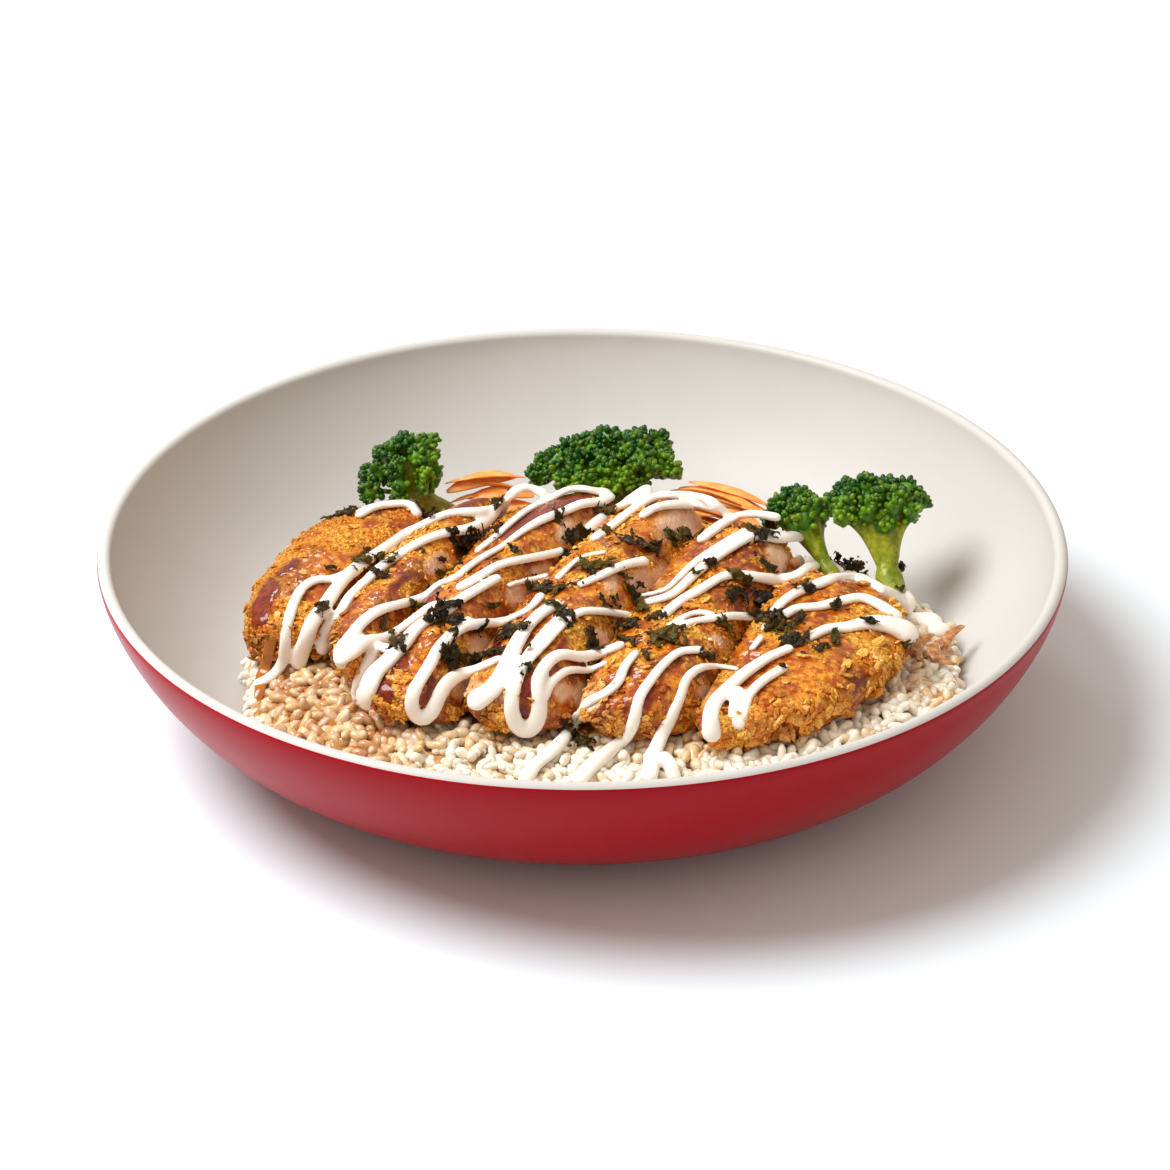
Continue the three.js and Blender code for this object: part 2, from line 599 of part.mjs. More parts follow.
// A heap of shreds: a low mound with strips fused on, laid side by side across it
function shredHeap({ at, half, top, turn, length, count, seed }) {
  const random = randomFrom(seed);
  const ground = riceTop(at[0], at[1]);
  const heading = degToRad(turn);
  const mound = new THREE.IcosahedronGeometry(1, 1);
  mound.scale(half[0] + 2, half[1] + 1, (top - ground) / 2 + 1);
  mound.rotateZ(heading);
  mound.translate(at[0], at[1], (top + ground) / 2);
  const solids = [toSolid(mound)];
  for (let i = 0; i < count; i++) {
    const share = (i + 0.5) / count;
    const angle = degToRad(turn + (random() - 0.5) * SHRED_SPREAD);
    const across = (share - 0.5) * 2 * half[1];
    const slide = (random() - 0.5) * half[0] * 0.9;
    const reach = length * (0.35 + 0.15 * random());
    const axis = new THREE.Vector3(Math.cos(angle), Math.sin(angle), (random() - 0.5) * 0.15);
    const rise = top + 1.5 * random() - 2.2 * Math.abs(2 * share - 1);
    const centre = new THREE.Vector3(slide, across, rise).applyAxisAngle(UP, heading);
    centre.x += at[0];
    centre.y += at[1];
    solids.push(shred(centre, axis, reach));
  }
  return largestBody(fuse(solids).subtract(riceGuard));
}

// A bent strip of onion
function onion({ at, length, width, turn, curl }) {
  const points = [-1, -0.5, 0, 0.5, 1].map((t) => {
    const point = new THREE.Vector3((t * length) / 2, curl * 2 * (1 - t * t), ONION_RISE * t);
    return point.applyAxisAngle(UP, degToRad(turn)).add(new THREE.Vector3(...at));
  });
  const radiusAt = (t) => (width / 2) * (0.6 + 0.4 * Math.sin(Math.PI * t));
  const strip = tubeAlong(new THREE.CatmullRomCurve3(points), radiusAt, 6, 4, ONION_FLATNESS);
  return toSolid(strip).subtract(riceGuard);
}

// A grain at true size, lying on the rice
function grain(x, y, random) {
  const shape = new THREE.SphereGeometry(1, 5, 3);
  shape.scale(GRAIN_LENGTH / 2, GRAIN_WIDTH / 2, GRAIN_WIDTH / 2);
  shape.rotateY((random() - 0.5) * 0.9);
  shape.rotateZ(random() * Math.PI);
  shape.translate(x, y, riceTop(x, y) + GRAIN_WIDTH * (0.02 + 0.2 * random()));
  return toSolid(shape);
}

function mayoDrop() {
  const drop = new THREE.IcosahedronGeometry(DROP.radius, 1);
  drop.scale(1, 1, DROP.flatness);
  drop.translate(DROP.at[0], DROP.at[1], riceTop(...DROP.at) + 1);
  return toSolid(drop);
}

// The rice with its loose grains, spread evenly wherever nothing else lies, and the mayonnaise on it
function riceBed(neighbours) {
  const random = randomFrom(77);
  const taken = fuse([...neighbours, toSolid(bowlGeometry())]);
  const solids = [toSolid(riceCore()), ...RICE_STRANDS.map(mayoStrand), mayoDrop()];
  let placed = 0;
  for (let i = 0; placed < GRAIN_COUNT; i++) {
    const angle = i * GOLDEN_ANGLE;
    const reach = riceOutline(angle) * mix(...GRAIN_RANGE, random());
    const x = RICE_SHIFT_X + reach * Math.cos(angle);
    const y = RICE_SHIFT_Y + reach * Math.sin(angle);
    const candidate = grain(x, y, random);
    if (candidate.minGap(taken, GRAIN_WIDTH) < GRAIN_CLEARANCE) continue;
    solids.push(candidate);
    placed++;
  }
  return largestBody(fuse(solids));
}

// Materials
const paint = (color, roughness) => new THREE.MeshStandardMaterial({ color, roughness, metalness: 0 });
const glazedShell = () => paint(0xe9e4dd, 0.35);
const cookedRice = () => paint(0xe9dfcb, 0.5);
const friedCrust = () => paint(0xb8711f, 0.45);
const greenFloret = () => paint(0x3d7a22, 0.5);
const carrotFlesh = () => paint(0xe8823a, 0.45);
const friedOnion = () => paint(0xa8703c, 0.35);

const dish = new THREE.Group();
function add(name, solid, material) {
  const mesh = new THREE.Mesh(toGeometry(solid), material);
  mesh.name = name;
  dish.add(mesh);
}

const cutlet = slices();
const broccoli = FLORETS.map((size) => floret(size).subtract(riceGuard));
const carrots = SHRED_HEAPS.map(shredHeap);
const onions = ONIONS.map(onion);

add('bowl', toSolid(bowlGeometry()), glazedShell());
add('rice_bed', riceBed([...cutlet, ...broccoli, ...carrots, ...onions]), cookedRice());
cutlet.forEach((solid, k) => add(`cutlet_slice_${k + 1}`, solid, friedCrust()));
broccoli.forEach((solid, i) => add(FLORETS[i].name, solid, greenFloret()));
carrots.forEach((solid, i) => add(SHRED_HEAPS[i].name, solid, carrotFlesh()));
onions.forEach((solid, i) => add(ONIONS[i].name, solid, friedOnion()));

export default dish;
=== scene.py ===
# A shallow two-tone bowl of rice under a sliced breaded cutlet with dark glaze, mayonnaise strands, seaweed
# flakes, broccoli florets, carrot shreds and browned onion. Sizes are millimetres, meshes are in metres,
# +Z is up and the diner sits on the -Y side.
import math

import bpy
import numpy as np
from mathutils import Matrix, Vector
from mathutils.bvhtree import BVHTree


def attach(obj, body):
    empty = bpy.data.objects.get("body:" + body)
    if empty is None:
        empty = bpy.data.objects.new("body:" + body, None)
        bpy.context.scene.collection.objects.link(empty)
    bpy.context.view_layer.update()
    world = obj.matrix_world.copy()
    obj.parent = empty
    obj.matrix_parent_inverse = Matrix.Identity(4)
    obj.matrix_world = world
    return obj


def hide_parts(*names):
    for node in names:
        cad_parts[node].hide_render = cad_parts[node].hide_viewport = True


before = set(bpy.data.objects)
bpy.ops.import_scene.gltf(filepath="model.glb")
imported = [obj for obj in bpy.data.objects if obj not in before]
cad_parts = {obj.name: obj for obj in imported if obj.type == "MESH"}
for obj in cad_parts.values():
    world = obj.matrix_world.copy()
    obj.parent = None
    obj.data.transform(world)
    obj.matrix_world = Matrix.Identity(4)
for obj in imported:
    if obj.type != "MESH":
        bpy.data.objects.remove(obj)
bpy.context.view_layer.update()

MM = 0.001
GOLDEN_ANGLE = math.pi * (3 - math.sqrt(5))

# Bowl sizes
RIM_RADIUS = 120
BOWL_HEIGHT = 46
FOOT_HEIGHT = 2.9
FOOT_OUTER_RADIUS = 62
FOOT_INNER_RADIUS = 56
FOOT_ROUNDING = 0.6
FOOT_EDGE = 0.5
FOOT_DROP = 0.4
BASE_RADIUS = 72.4
WALL_THICKNESS = 3.5
INNER_FLOOR_Z = 6.5
INNER_FLOOR_RADIUS = 70
INNER_RIM_RADIUS = RIM_RADIUS - WALL_THICKNESS
WALL_FLATNESS = 1.381
WALL_ROUNDNESS = 2.097
BOWL_SECTORS = 256
WALL_RINGS = 40
LIP_STEP = 15
RED_LIP_ROWS = 2

# Rice sizes
RICE_HALF_WIDTH = 88
RICE_SQUARENESS = 2.4
RICE_SHIFT = (4.8, -12)
RICE_FRONT = 79
RICE_BACK = 66
RICE_LEVEL = 21.5
RICE_EDGE_HEIGHT = 2.2
RICE_EDGE_STEEPNESS = 6
RICE_WAVINESS = 2
RICE_FLOOR_GAP = 1
RICE_CORE_INSET = 0.8
RICE_CORE_DEPTH = 1.6
RICE_CORE_SECTORS = 220
RICE_CORE_RINGS = 46
RICE_FLOOR_LOOPS = (0.45, 0.75, 0.9, 0.99)
RICE_CORE_RISE = 0.9
RICE_LUMP = 4.2
RICE_LUMP_DEPTH = 1.1
SAUCE_POOL = 8
SAUCE_POOL_RISE = 0.6
SOAKED_LEFT = (-81, -73)
SOAKED_RIGHT = (-34, -50)
SOAKED_BACK = (5, -15)
SOAKED_SLANT = 0.25
SOAKED_PIVOT = -60
SOAKED_BROWNING = 0.85
STAINED_MIDDLE = 5
STAINED_MIDDLE_SHARE = 0.5
STAINED_RIGHT = (48, 70)
STAINED_RIGHT_SHARE = 0.3
RICE_BLOTCH = 6
RICE_BLOTCH_SHARE = 0.7
# Darkens and warms the rice under the loose grains: painted shade in the gaps between grains.
CORE_PAINTED_SHADE = (0.84, 0.68, 0.44)
GRAIN_LENGTH = 5.3
GRAIN_WIDTH = 2.7
GRAIN_BEND = 0.25
GRAIN_AROUND = 7
GRAIN_RINGS = 5
GRAIN_PLACES = 6800
GRAIN_SCATTER = 1.0
GRAIN_TILT = 0.5
GRAIN_SINK = 1.0
GRAIN_HEIGHTS = (-1.3, 1.5)
GRAIN_LUMP = 11
GRAIN_LUMP_HEIGHT = 2.0
GRAIN_SEED = 77
LEFT_GRAINS_END = 5
UNDER_CUTLET = 7

# Cutlet: cut lines x = at + slope * y + bend * y * y at the height CUT_LEVEL, each face leaning to the left
CUT_LEVEL = 30
CUT_GAP = 0.5
CUTS = [
    dict(at=-83.4, slope=0.2, bend=0.0055, lean=0.1),
    dict(at=-55.6, slope=0.386, bend=0.00355, lean=0.45),
    dict(at=-35.5, slope=0.41, bend=0, lean=0.6),
    dict(at=-9.5, slope=0.5, bend=0.002, lean=0.75),
    dict(at=19.5, slope=0.4, bend=0, lean=0.8),
    dict(at=49.6, slope=0.4, bend=0, lean=0.65),
    dict(at=76.9, slope=-0.42, bend=-0.0128, lean=0.05),
]
SLICES = [
    dict(front=-23, front_skew=-5, back=40, back_skew=1, left=32.5, right=34.5),
    dict(front=-38, front_skew=-14, back=41, back_skew=4, left=31.5, right=37),
    dict(front=-56, front_skew=-6, back=43, back_skew=1, left=32, right=39),
    dict(front=-60.5, front_skew=-1, back=41, back_skew=-6, left=32.5, right=40),
    dict(front=-62.5, front_skew=1, back=28, back_skew=-20, left=33, right=38),
    dict(front=-66, front_skew=6, back=2, back_skew=-16, left=33, right=34.5),
]
SLICE_AROUND = 132
SLICE_STATIONS = 130
SLICE_RICE_GAP = 1
SLICE_HALF_HEIGHT = 8.5
END_BLUNTNESS = 5
CRUST_ROUNDNESS = 0.6
CUT_ROUNDNESS = 0.36
SECTION_MIDDLE = -0.2
CROWN = 1.6
FRONT_SAG_START = -10
FRONT_SAG = 0.045
CRAG = 2.4
CRAG_HEIGHT = 0.9
FINE_CRAG = 1.2
FINE_CRAG_HEIGHT = 0.55
SWELL = 8
SWELL_HEIGHT = 0.8
HIGHEST_CRAG = 1.2
STREAK_HEIGHT = 0.3
MEAT_RELIEF = 2.5
MEAT_RELIEF_HEIGHT = 0.15
MEAT_FIBRE = 2.2
GLAZE_POOL = 9
GLAZE_ON_TOP = [0.25, 0.25, 0.25, 0.25, 0.25, 0.05]
TOASTING = [0.56, 0.34, 0.34, 0.34, 0.34, 0.34]
STREAK_RAGGEDNESS = 3.5
STREAK_RAG = 12
MEAT_RAGGEDNESS = 8
LARGE_CRUMBS = dict(count=380, smallest=0.6, largest=1.5)
END_CRUMBS = dict(count=1000, smallest=0.6, largest=2.2)
SMALL_CRUMBS = dict(count=900, smallest=0.28, largest=0.6)
FLATTEST_CRUMB = (0.8, 0.5, 0.22)
STOUTEST_CRUMB = (1.5, 1.0, 0.55)
CRUMB_SEED = 5

# The camera, from which the routes below are seen
CAMERA_ELEVATION = math.radians(28.9)
CAMERA_DISTANCE = 1000
CAMERA_TARGET = (0.64, 0, 31)
CAMERA_LENS = 123.08
SENSOR_WIDTH = 36
FRAME_WIDTH = 1170

# How far below a pixel food is looked for, in pixels, and a height above it all
SEARCH_DOWN = 60
SEARCH_STEP = 3
ABOVE_ALL = 70

# Mayonnaise: each strand's widths along it and its route, in pixels of the frame
MAYO_VOXEL = 0.5
MAYO_SMOOTHING = 5
MAYO_SPREAD = 1.24
MAYO_HEIGHT = 0.6
MAYO_SWAY = 0.1
MAYO_BLOB = 0.08
MAYO_AROUND = 14
CROSSING_LIFT = 0.3
DROP_SHAPE = np.array([1, 0.9, 0.65])
DROP_LIFT = 0.4
ROUTE_STEP = 3.5
STRANDS = [
    ((2.5, 2.3), [(345, 577), (331, 581), (316, 581), (303, 589), (294, 604), (288, 624), (285, 645),
        (282, 663), (272, 677), (257, 685)]),
    ((2.4, 3.2), [(493, 511), (480, 513), (457, 514), (443, 517), (426, 525), (407, 534), (388, 547),
        (363, 564), (345, 579), (335, 591), (325, 606), (313, 622), (305, 641), (298, 665)]),
    ((2.6, 2.8), [(493, 512), (486, 522), (470, 530), (452, 533), (436, 537), (418, 545), (400, 556),
        (384, 567), (367, 582), (352, 596), (341, 614), (327, 628), (321, 641), (322, 649)]),
    ((2.6, 2.6), [(359, 516), (370, 510), (382, 507), (402, 505), (412, 507), (417, 515)]),
    ((1.8, 2.4), [(478, 552), (500, 534), (511, 524), (528, 511), (551, 500), (566, 492), (580, 490),
        (597, 493), (607, 493), (610, 498)]),
    ((2.4, 1.8), [(610, 498), (600, 503), (582, 505), (563, 513), (544, 520), (520, 534), (503, 547),
        (482, 559), (464, 572), (456, 580)]),
    ((1.8, 3.2), [(456, 580), (440, 585), (424, 598), (400, 605), (380, 611), (364, 622), (352, 637),
        (341, 653), (344, 663)]),
    ((3.2, 2.4), [(344, 663), (351, 655), (366, 643), (386, 640), (401, 631), (418, 618), (434, 607),
        (450, 606)]),
    ((2.2, 4.4), [(497, 579), (480, 589), (462, 600), (446, 613), (429, 621), (414, 634), (401, 650),
        (388, 664), (376, 676), (370, 690), (366, 700)]),
    ((2.6, 4.0), [(390, 652), (380, 648), (372, 655), (365, 670), (361, 686), (362, 699)]),
    ((2.0, 2.6), [(541, 597), (532, 608), (517, 617), (500, 623), (478, 625), (461, 629), (452, 636)]),
    ((2.6, 2.7, 3.4, 3.0, 2.2), [(452, 636), (438, 650), (429, 667), (417, 687), (412, 700), (415, 713),
        (423, 718), (431, 712), (437, 699), (445, 685), (456, 677), (475, 671), (499, 661)]),
    ((2.8, 4.4), [(556, 606), (540, 617), (527, 630), (515, 650), (506, 670), (494, 690), (478, 702)]),
    ((2.0, 2.5, 3.5, 2.8, 2.4), [(560, 618), (545, 633), (531, 652), (521, 671), (513, 694), (512, 712),
        (518, 726), (526, 730), (535, 723), (539, 705), (537, 684), (545, 667), (559, 656), (580, 658),
        (601, 654), (621, 647)]),
    ((1.8, 1.8), [(566, 622), (549, 641), (533, 659), (522, 674)]),
    ((1.6, 2.4), [(606, 664), (588, 671), (568, 671), (552, 682), (543, 697)]),
    ((2.0, 3.2), [(636, 654), (625, 668), (618, 684), (603, 696), (586, 705), (576, 720), (566, 737),
        (551, 753), (533, 769), (526, 779)]),
    ((2.0, 3.2), [(700, 651), (680, 653), (664, 665), (651, 681), (640, 698), (635, 717), (628, 736),
        (611, 750), (595, 764), (581, 779)]),
    ((1.4, 3.4), [(738, 670), (719, 667), (699, 669), (686, 680), (680, 697), (671, 717), (661, 737),
        (654, 756), (649, 778)]),
    ((3.0, 3.2), [(664, 760), (671, 767), (673, 779)]),
    ((2.4, 3.7), [(789, 650), (769, 659), (745, 675), (727, 691), (714, 706), (711, 720), (711, 734)]),
    ((2.2, 2.6), [(784, 669), (762, 683), (748, 698), (744, 713), (740, 727), (735, 725), (734, 711),
        (738, 692)]),
    ((3.4, 2.6), [(497, 514), (505, 503), (515, 493), (526, 489), (544, 495)]),
    ((2.0, 2.6), [(562, 552), (540, 557), (519, 561), (500, 566), (481, 577), (461, 589)]),
    ((1.8, 1.2), [(546, 577), (526, 581), (507, 586)]),
    ((1.4, 1.8), [(605, 553), (582, 558), (567, 570), (558, 579)]),
    ((3.2, 2.8), [(646, 493), (631, 502), (614, 512), (597, 523), (588, 531)]),
    ((3.2, 2.4), [(725, 515), (712, 504), (695, 498), (675, 497), (655, 499), (635, 510), (620, 521),
        (603, 534), (594, 540)]),
    ((3.0, 2.2), [(716, 512), (697, 507), (672, 506), (653, 510), (642, 517)]),
    ((2.8, 3.0), [(775, 519), (757, 516), (738, 518), (719, 528), (703, 541)]),
    ((2.6, 1.4), [(749, 532), (731, 541), (711, 553), (694, 565), (680, 578), (665, 591), (637, 597)]),
    ((3.2, 2.0), [(813, 550), (810, 542), (797, 538), (775, 540), (752, 538), (735, 546), (720, 556),
        (702, 569), (687, 583), (672, 596), (646, 604)]),
    ((3.2, 2.2), [(838, 574), (825, 565), (811, 568), (797, 577), (775, 581), (747, 577), (726, 577),
        (702, 590), (681, 602), (662, 618)]),
    ((2.4, 2.0), [(644, 562), (628, 565), (612, 571), (596, 579), (580, 586)]),
    ((2.2, 2.0), [(568, 620), (580, 613), (597, 612), (628, 616)]),
    ((1.8, 1.8), [(659, 638), (673, 625), (688, 616), (703, 613), (712, 616)]),
    ((2.0, 2.2), [(676, 631), (691, 623), (711, 620), (731, 617), (752, 618)]),
    ((2.2, 2.8, 3.0, 5.0), [(770, 617), (783, 603), (799, 593), (818, 586), (839, 579), (860, 580),
        (879, 592), (894, 599), (903, 605)]),
    ((2.4, 2.4, 2.8), [(766, 630), (778, 621), (796, 610), (817, 608), (839, 603), (861, 599), (880, 607),
        (896, 618)]),
    ((2.4, 3.2, 5.4), [(808, 640), (826, 631), (847, 629), (868, 625), (889, 628), (904, 635)]),
    ((1.8, 1.8), [(752, 650), (761, 638)]),
]
DROPS = [((917, 622), 3.0), ((928, 624), 3.8), ((938, 632), 3.2), ((710, 641), 0.9), ((468, 621), 1.2)]

# Glaze that has run down onto the rice, with its route in pixels of the frame
RUN_WIDTH = 4.4
RUN_TAPER = (1.1, 0.5)
RUN_SWAY = 0.4
RUN_FLATNESS = 0.22
RUN_LIFT = 0.2
RUN_AROUND = 12
RUN_ROUTE = [(272, 632), (270, 645), (267, 660), (262, 680), (258, 700)]

# Seaweed flakes: middle and length in pixels of the frame, and turn in degrees
FLAKES = [
    (330, 519, 14, 0), (347, 513, 22, 10), (366, 559, 34, 45), (331, 570, 10, 0), (377, 573, 24, -30),
    (389, 558, 18, 10), (321, 612, 24, 60), (295, 630, 8, 90), (383, 626, 13, 80), (399, 641, 32, 50),
    (412, 606, 24, 10), (425, 515, 22, 0), (453, 540, 20, -60), (468, 548, 30, 40), (488, 533, 34, 25),
    (498, 502, 22, 45), (422, 551, 8, -45), (441, 560, 10, 0), (443, 577, 16, 0), (459, 567, 16, 80),
    (426, 588, 14, -50), (448, 612, 40, 85), (447, 655, 36, 88), (437, 634, 14, 0), (478, 631, 14, 75),
    (508, 633, 28, 80), (523, 626, 18, 10), (494, 652, 18, 0), (490, 607, 16, -20), (514, 550, 18, -40),
    (557, 518, 20, -70), (574, 538, 30, 20), (565, 551, 14, 70), (538, 588, 24, 0), (560, 588, 34, 10),
    (553, 605, 24, 0), (563, 616, 24, 80), (472, 664, 28, 20), (528, 651, 14, 40), (523, 671, 20, 45),
    (578, 741, 30, -40), (549, 747, 12, 20), (570, 677, 6, 0), (613, 684, 8, 0), (606, 511, 18, -20),
    (607, 535, 12, 0), (627, 541, 26, -20), (650, 549, 36, -20), (668, 535, 22, -60), (684, 541, 34, -20),
    (590, 566, 34, -25), (610, 562, 14, 0), (623, 576, 16, -40), (631, 592, 24, -55), (644, 609, 24, -55),
    (638, 586, 12, 0), (603, 603, 20, -60), (612, 600, 16, -40), (655, 618, 24, 0), (711, 562, 18, 10),
    (693, 573, 15, 0), (734, 573, 18, -20), (746, 583, 16, -30), (717, 586, 12, 0), (737, 597, 30, -25),
    (630, 628, 28, 0), (630, 643, 26, 0), (664, 639, 34, 5), (590, 641, 20, -75), (646, 655, 14, -80),
    (708, 657, 24, -5), (724, 627, 20, -40), (733, 638, 14, -50), (741, 640, 14, 60), (765, 530, 38, -10),
    (748, 521, 16, -30), (765, 567, 22, -40), (803, 587, 26, -5), (823, 549, 18, -75), (843, 565, 36, -10),
    (899, 570, 20, 90), (900, 588, 18, 90), (838, 608, 20, 85), (871, 621, 18, -15), (770, 617, 30, -15),
    (785, 630, 34, -10), (800, 622, 20, 80), (797, 643, 30, 0), (820, 649, 20, 0), (835, 640, 20, 85),
    (906, 648, 13, 0), (783, 667, 10, 0), (802, 655, 8, 0),
]
BERRY = ((760, 600), 3.4)
BERRY_SHAPE = np.array([1, 0.9, 0.7])
FLAKE_HALF = 0.62
FLAKE_SHEET = 2.8
FLAKE_SLIMNESS = (0.34, 0.58)
FLAKE_TEAR = 2.6
FLAKE_FINE_TEAR = 0.9
FLAKE_RAGGEDNESS = 1.9
FLAKE_FOLD = 2.4
FLAKE_FOLD_HEIGHT = 2.0
FLAKE_CRINKLE = 1.0
FLAKE_CRINKLE_HEIGHT = 0.8
FLAKE_CELL = 0.38
FLAKE_THICKNESS = 0.22
FLAKE_LIFT = 0.25
FLAKE_REACH = 4
FLAKE_SEARCH = 7
FLAKE_TOP = 47.4
FLAKE_SEED = 41
ONE_BIT_FROM = 15
TWO_BITS_FROM = 26
BIT_SIZES = (0.35, 0.55)
BIT_DISTANCES = (0.15, 0.4)
BIT_TURN = 70
PIXELS_PER_MM = 4.1

# Dark glaze on the cutlet: half width and route of each streak, in pixels of the frame
STREAKS = [
    (6, [(505, 536), (525, 522), (545, 511), (568, 500), (590, 494)]), (4, [(462, 506), (487, 499)]),
    (4, [(670, 497), (703, 493)]), (5, [(430, 678), (426, 700)]), (6, [(527, 682), (523, 712)]),
    (7, [(402, 660), (406, 664)]), (8, [(383, 688), (388, 694)]), (8, [(273, 586), (262, 604), (260, 620)]),
    (3, [(278, 577), (295, 563)]), (4, [(440, 590), (425, 598)]), (4, [(600, 512), (606, 508)]),
    (4, [(565, 640), (556, 652)]), (4, [(652, 690), (646, 706)]), (4, [(742, 600), (752, 590)]),
    (5, [(405, 578), (392, 588)]), (4, [(500, 640), (492, 655)]),
]

# Where the cut pork shows between the glaze: middle and radius, in pixels of the frame
MEAT_SPOTS = [
    (668, 525, 14), (690, 524, 16), (640, 581, 14), (662, 580, 14), (682, 572, 12), (778, 556, 12),
    (796, 552, 12), (437, 565, 12), (568, 530, 11), (590, 530, 11), (515, 595, 12), (480, 647, 12),
    (587, 695, 14), (467, 685, 14), (600, 640, 12), (707, 692, 9), (610, 585, 9), (545, 570, 10),
    (718, 640, 9), (565, 690, 9), (500, 690, 10),
]

# Broccoli florets: the crown's middle and half sizes, its lean, its lobes and its cut stem
FLORETS = [
    dict(name="broccoli_left", crown=(-48, 50, 34), half=(7, 6, 9), lean=0.45, lobe=5.3, foot=(-37, 50, 26),
         stem=5.2, clusters=24, wrap=1.12, seed=11),
    dict(name="broccoli_centre", crown=(5, 57, 33), half=(14, 8, 6.5), lean=0.6, lobe=6, foot=(9, 49.5, 19.5),
         stem=5, clusters=40, wrap=1.06, seed=23),
    dict(name="broccoli_right_small", crown=(55, 32, 33), half=(5, 4, 4), lean=0, lobe=4.4, foot=(66, 15, 21),
         stem=2.8, clusters=18, wrap=1.05, seed=37),
    dict(name="broccoli_right_large", crown=(75, 26, 38.5), half=(9, 5.5, 4.6), lean=0, lobe=5.4,
         foot=(79, 8, 20.5), stem=3.9, clusters=24, wrap=1.0, seed=51),
]
FLORET_VOXEL = 0.5
FLORET_SMOOTHING = 2
FLORET_TOP = 47.6
FORK_SHARE = 0.3
LOW_FORK_SHARE = 0.6
TRUNK_AROUND = 20
BRANCH_AROUND = 10
BRANCH_THICKNESS = 0.42
CLUSTER_SIZES = (0.38, 0.54)
CLUSTER_BALL = 0.8
KNOBS = 6
KNOB_SIZES = (0.35, 0.5)
KNOB_REACH = 0.7
BUD_RADIUS = 0.72
BUD_SIZES = (0.55, 1.3)
BUD_LENGTH = 1.6
BUD_SPACING = 1.1
PALE_BUDS_FROM = 0.92

# Carrot shreds, and the stations along a shred or an onion strip from end to end
STATIONS = (-1, -0.5, 0, 0.5, 1)
SHRED_THICKNESS = 1.1
SHRED_TURN = 15
SHRED_REACH = (0.34, 0.5)
SHRED_BEND = 0.12
SHRED_SAG = 1.2
SHRED_STEP = 0.8
SHRED_AROUND = 10
HEAP_BASE = 1.5
HEAP_NARROWING = 0.55
SHREDS = [
    dict(name="carrot_shreds_left", at=(-23.5, 49), half=(7, 3.4), top=36, turn=4, length=22, width=4.8,
         count=9, seed=5),
    dict(name="carrot_shreds_right", at=(36, 46), half=(9, 4), top=33, turn=-26, length=24, width=4.6,
         count=16, seed=8),
]

# Browned onion strips
ONION_RISE = 0.8
ONION_STEP = 0.5
ONION_FLATNESS = 0.35
ONION_AROUND = 24
ONION_LUMP = 1.8
ONION_LUMP_HEIGHT = 0.18
ONIONS = [
    dict(name="onion_piece_1", at=(84.5, -17, 23), length=9, width=4.5, turn=70, curl=1.1),
    dict(name="onion_piece_2", at=(89.5, -19, 22.5), length=9, width=4, turn=110, curl=1.5),
    dict(name="onion_piece_3", at=(92, -11, 22), length=10, width=3.5, turn=60, curl=0.6),
]

# A golden bead on the fifth slice
BEAD_PLACE = (53.5, 13.1)
BEAD_HALF_SIZES = (1.7, 1.5, 1.3)
BEAD_LIFT = 0.9

# Table in millimetres, and lights in metres and watts
TABLE_HALF_WIDTH = 1500
TABLE_SQUARES = 11
TABLE_DROP = 0.2
LIT_PLACE = (0, 0, 0.03)
LIGHTS = [
    dict(name="key", place=(-0.62, 0.0, 1.0), energy=18.0, colour=(0.95, 0.98, 1.0), size=0.72),
    dict(name="back", place=(-0.3, 1.0, 0.8), energy=1.4, colour=(1.0, 0.97, 0.93), size=0.22),
    dict(name="fill", place=(0.5, -1.0, 0.9), energy=1.4, colour=(1.0, 0.93, 0.86), size=2.2),
]
SKY_COLOUR = (1.0, 0.87, 0.76, 1)
SKY_STRENGTH = 0.6

# Colours as a screen shows them, 0 to 255
COLOURS = dict(
    cream=(194, 191, 186), light_cream=(199, 197, 193), red=(148, 2, 22), light_red=(156, 4, 28),
    table=(229, 241, 248), light_table=(233, 243, 249),
    white_rice=(236, 226, 207), beige_rice=(220, 182, 128), brown_rice=(182, 118, 56),
    rice_sheen=(252, 248, 238), sauce=(164, 92, 26),
    gold=(244, 190, 80), amber=(222, 140, 34), brown=(180, 88, 10), burnt=(104, 40, 2),
    syrup=(218, 136, 24), dark_syrup=(170, 78, 4), burnt_syrup=(112, 42, 2), bright_syrup=(244, 176, 58),
    pale_flank=(226, 164, 70), toasted_flank=(186, 108, 34), streak=(126, 36, 4),
    meat=(238, 198, 164), dark_meat=(226, 172, 132), stained_meat=(206, 122, 36),
    # The crust and crumb hollow tones darken the hollows of the relief: painted shade.
    crust_hollow_shade=(190, 128, 70), crust_tip=(252, 200, 96), deep_glaze=(200, 140, 64),
    crumb_hollow_shade=(200, 140, 85), pale_crumb=(248, 194, 96),
    mayonnaise=(238, 230, 219), light_mayonnaise=(244, 237, 228), run=(140, 68, 14), light_run=(190, 116, 40),
    # The olive seaweed colour for the raised crinkles is a painted sheen.
    seaweed_painted_sheen=(92, 78, 20), berry=(26, 10, 14),
    # The floret hollow tone darkens the hollows of the relief: painted shade.
    stem=(120, 134, 18), light_stem=(168, 170, 46), cut_stem=(200, 200, 112), floret_hollow_shade=(200, 205, 150),
    inner_head=(96, 146, 26), outer_head=(52, 108, 16), low_bud=(122, 164, 20), high_bud=(30, 80, 6),
    pale_bud=(150, 178, 52), carrot=(244, 140, 54), light_carrot=(254, 178, 100),
    onion=(140, 78, 32), light_onion=(200, 146, 90),
)
SEAWEED_COLOURS = [(44, 32, 4), (58, 44, 6), (32, 20, 3), (82, 66, 8), (62, 60, 8)]
SEAWEED_SHARES = [0.3, 0.3, 0.15, 0.17, 0.08]


# Numbers and noise
def mix(a, b, t):
    return a + (b - a) * t


def smooth(low, high, value):
    t = np.clip((value - low) / (high - low), 0, 1)
    return t * t * (3 - 2 * t)


def lattice(i, j, k):
    s = np.sin(i * 12.9898 + j * 78.233 + k * 37.719) * 43758.5453
    return s - np.floor(s)


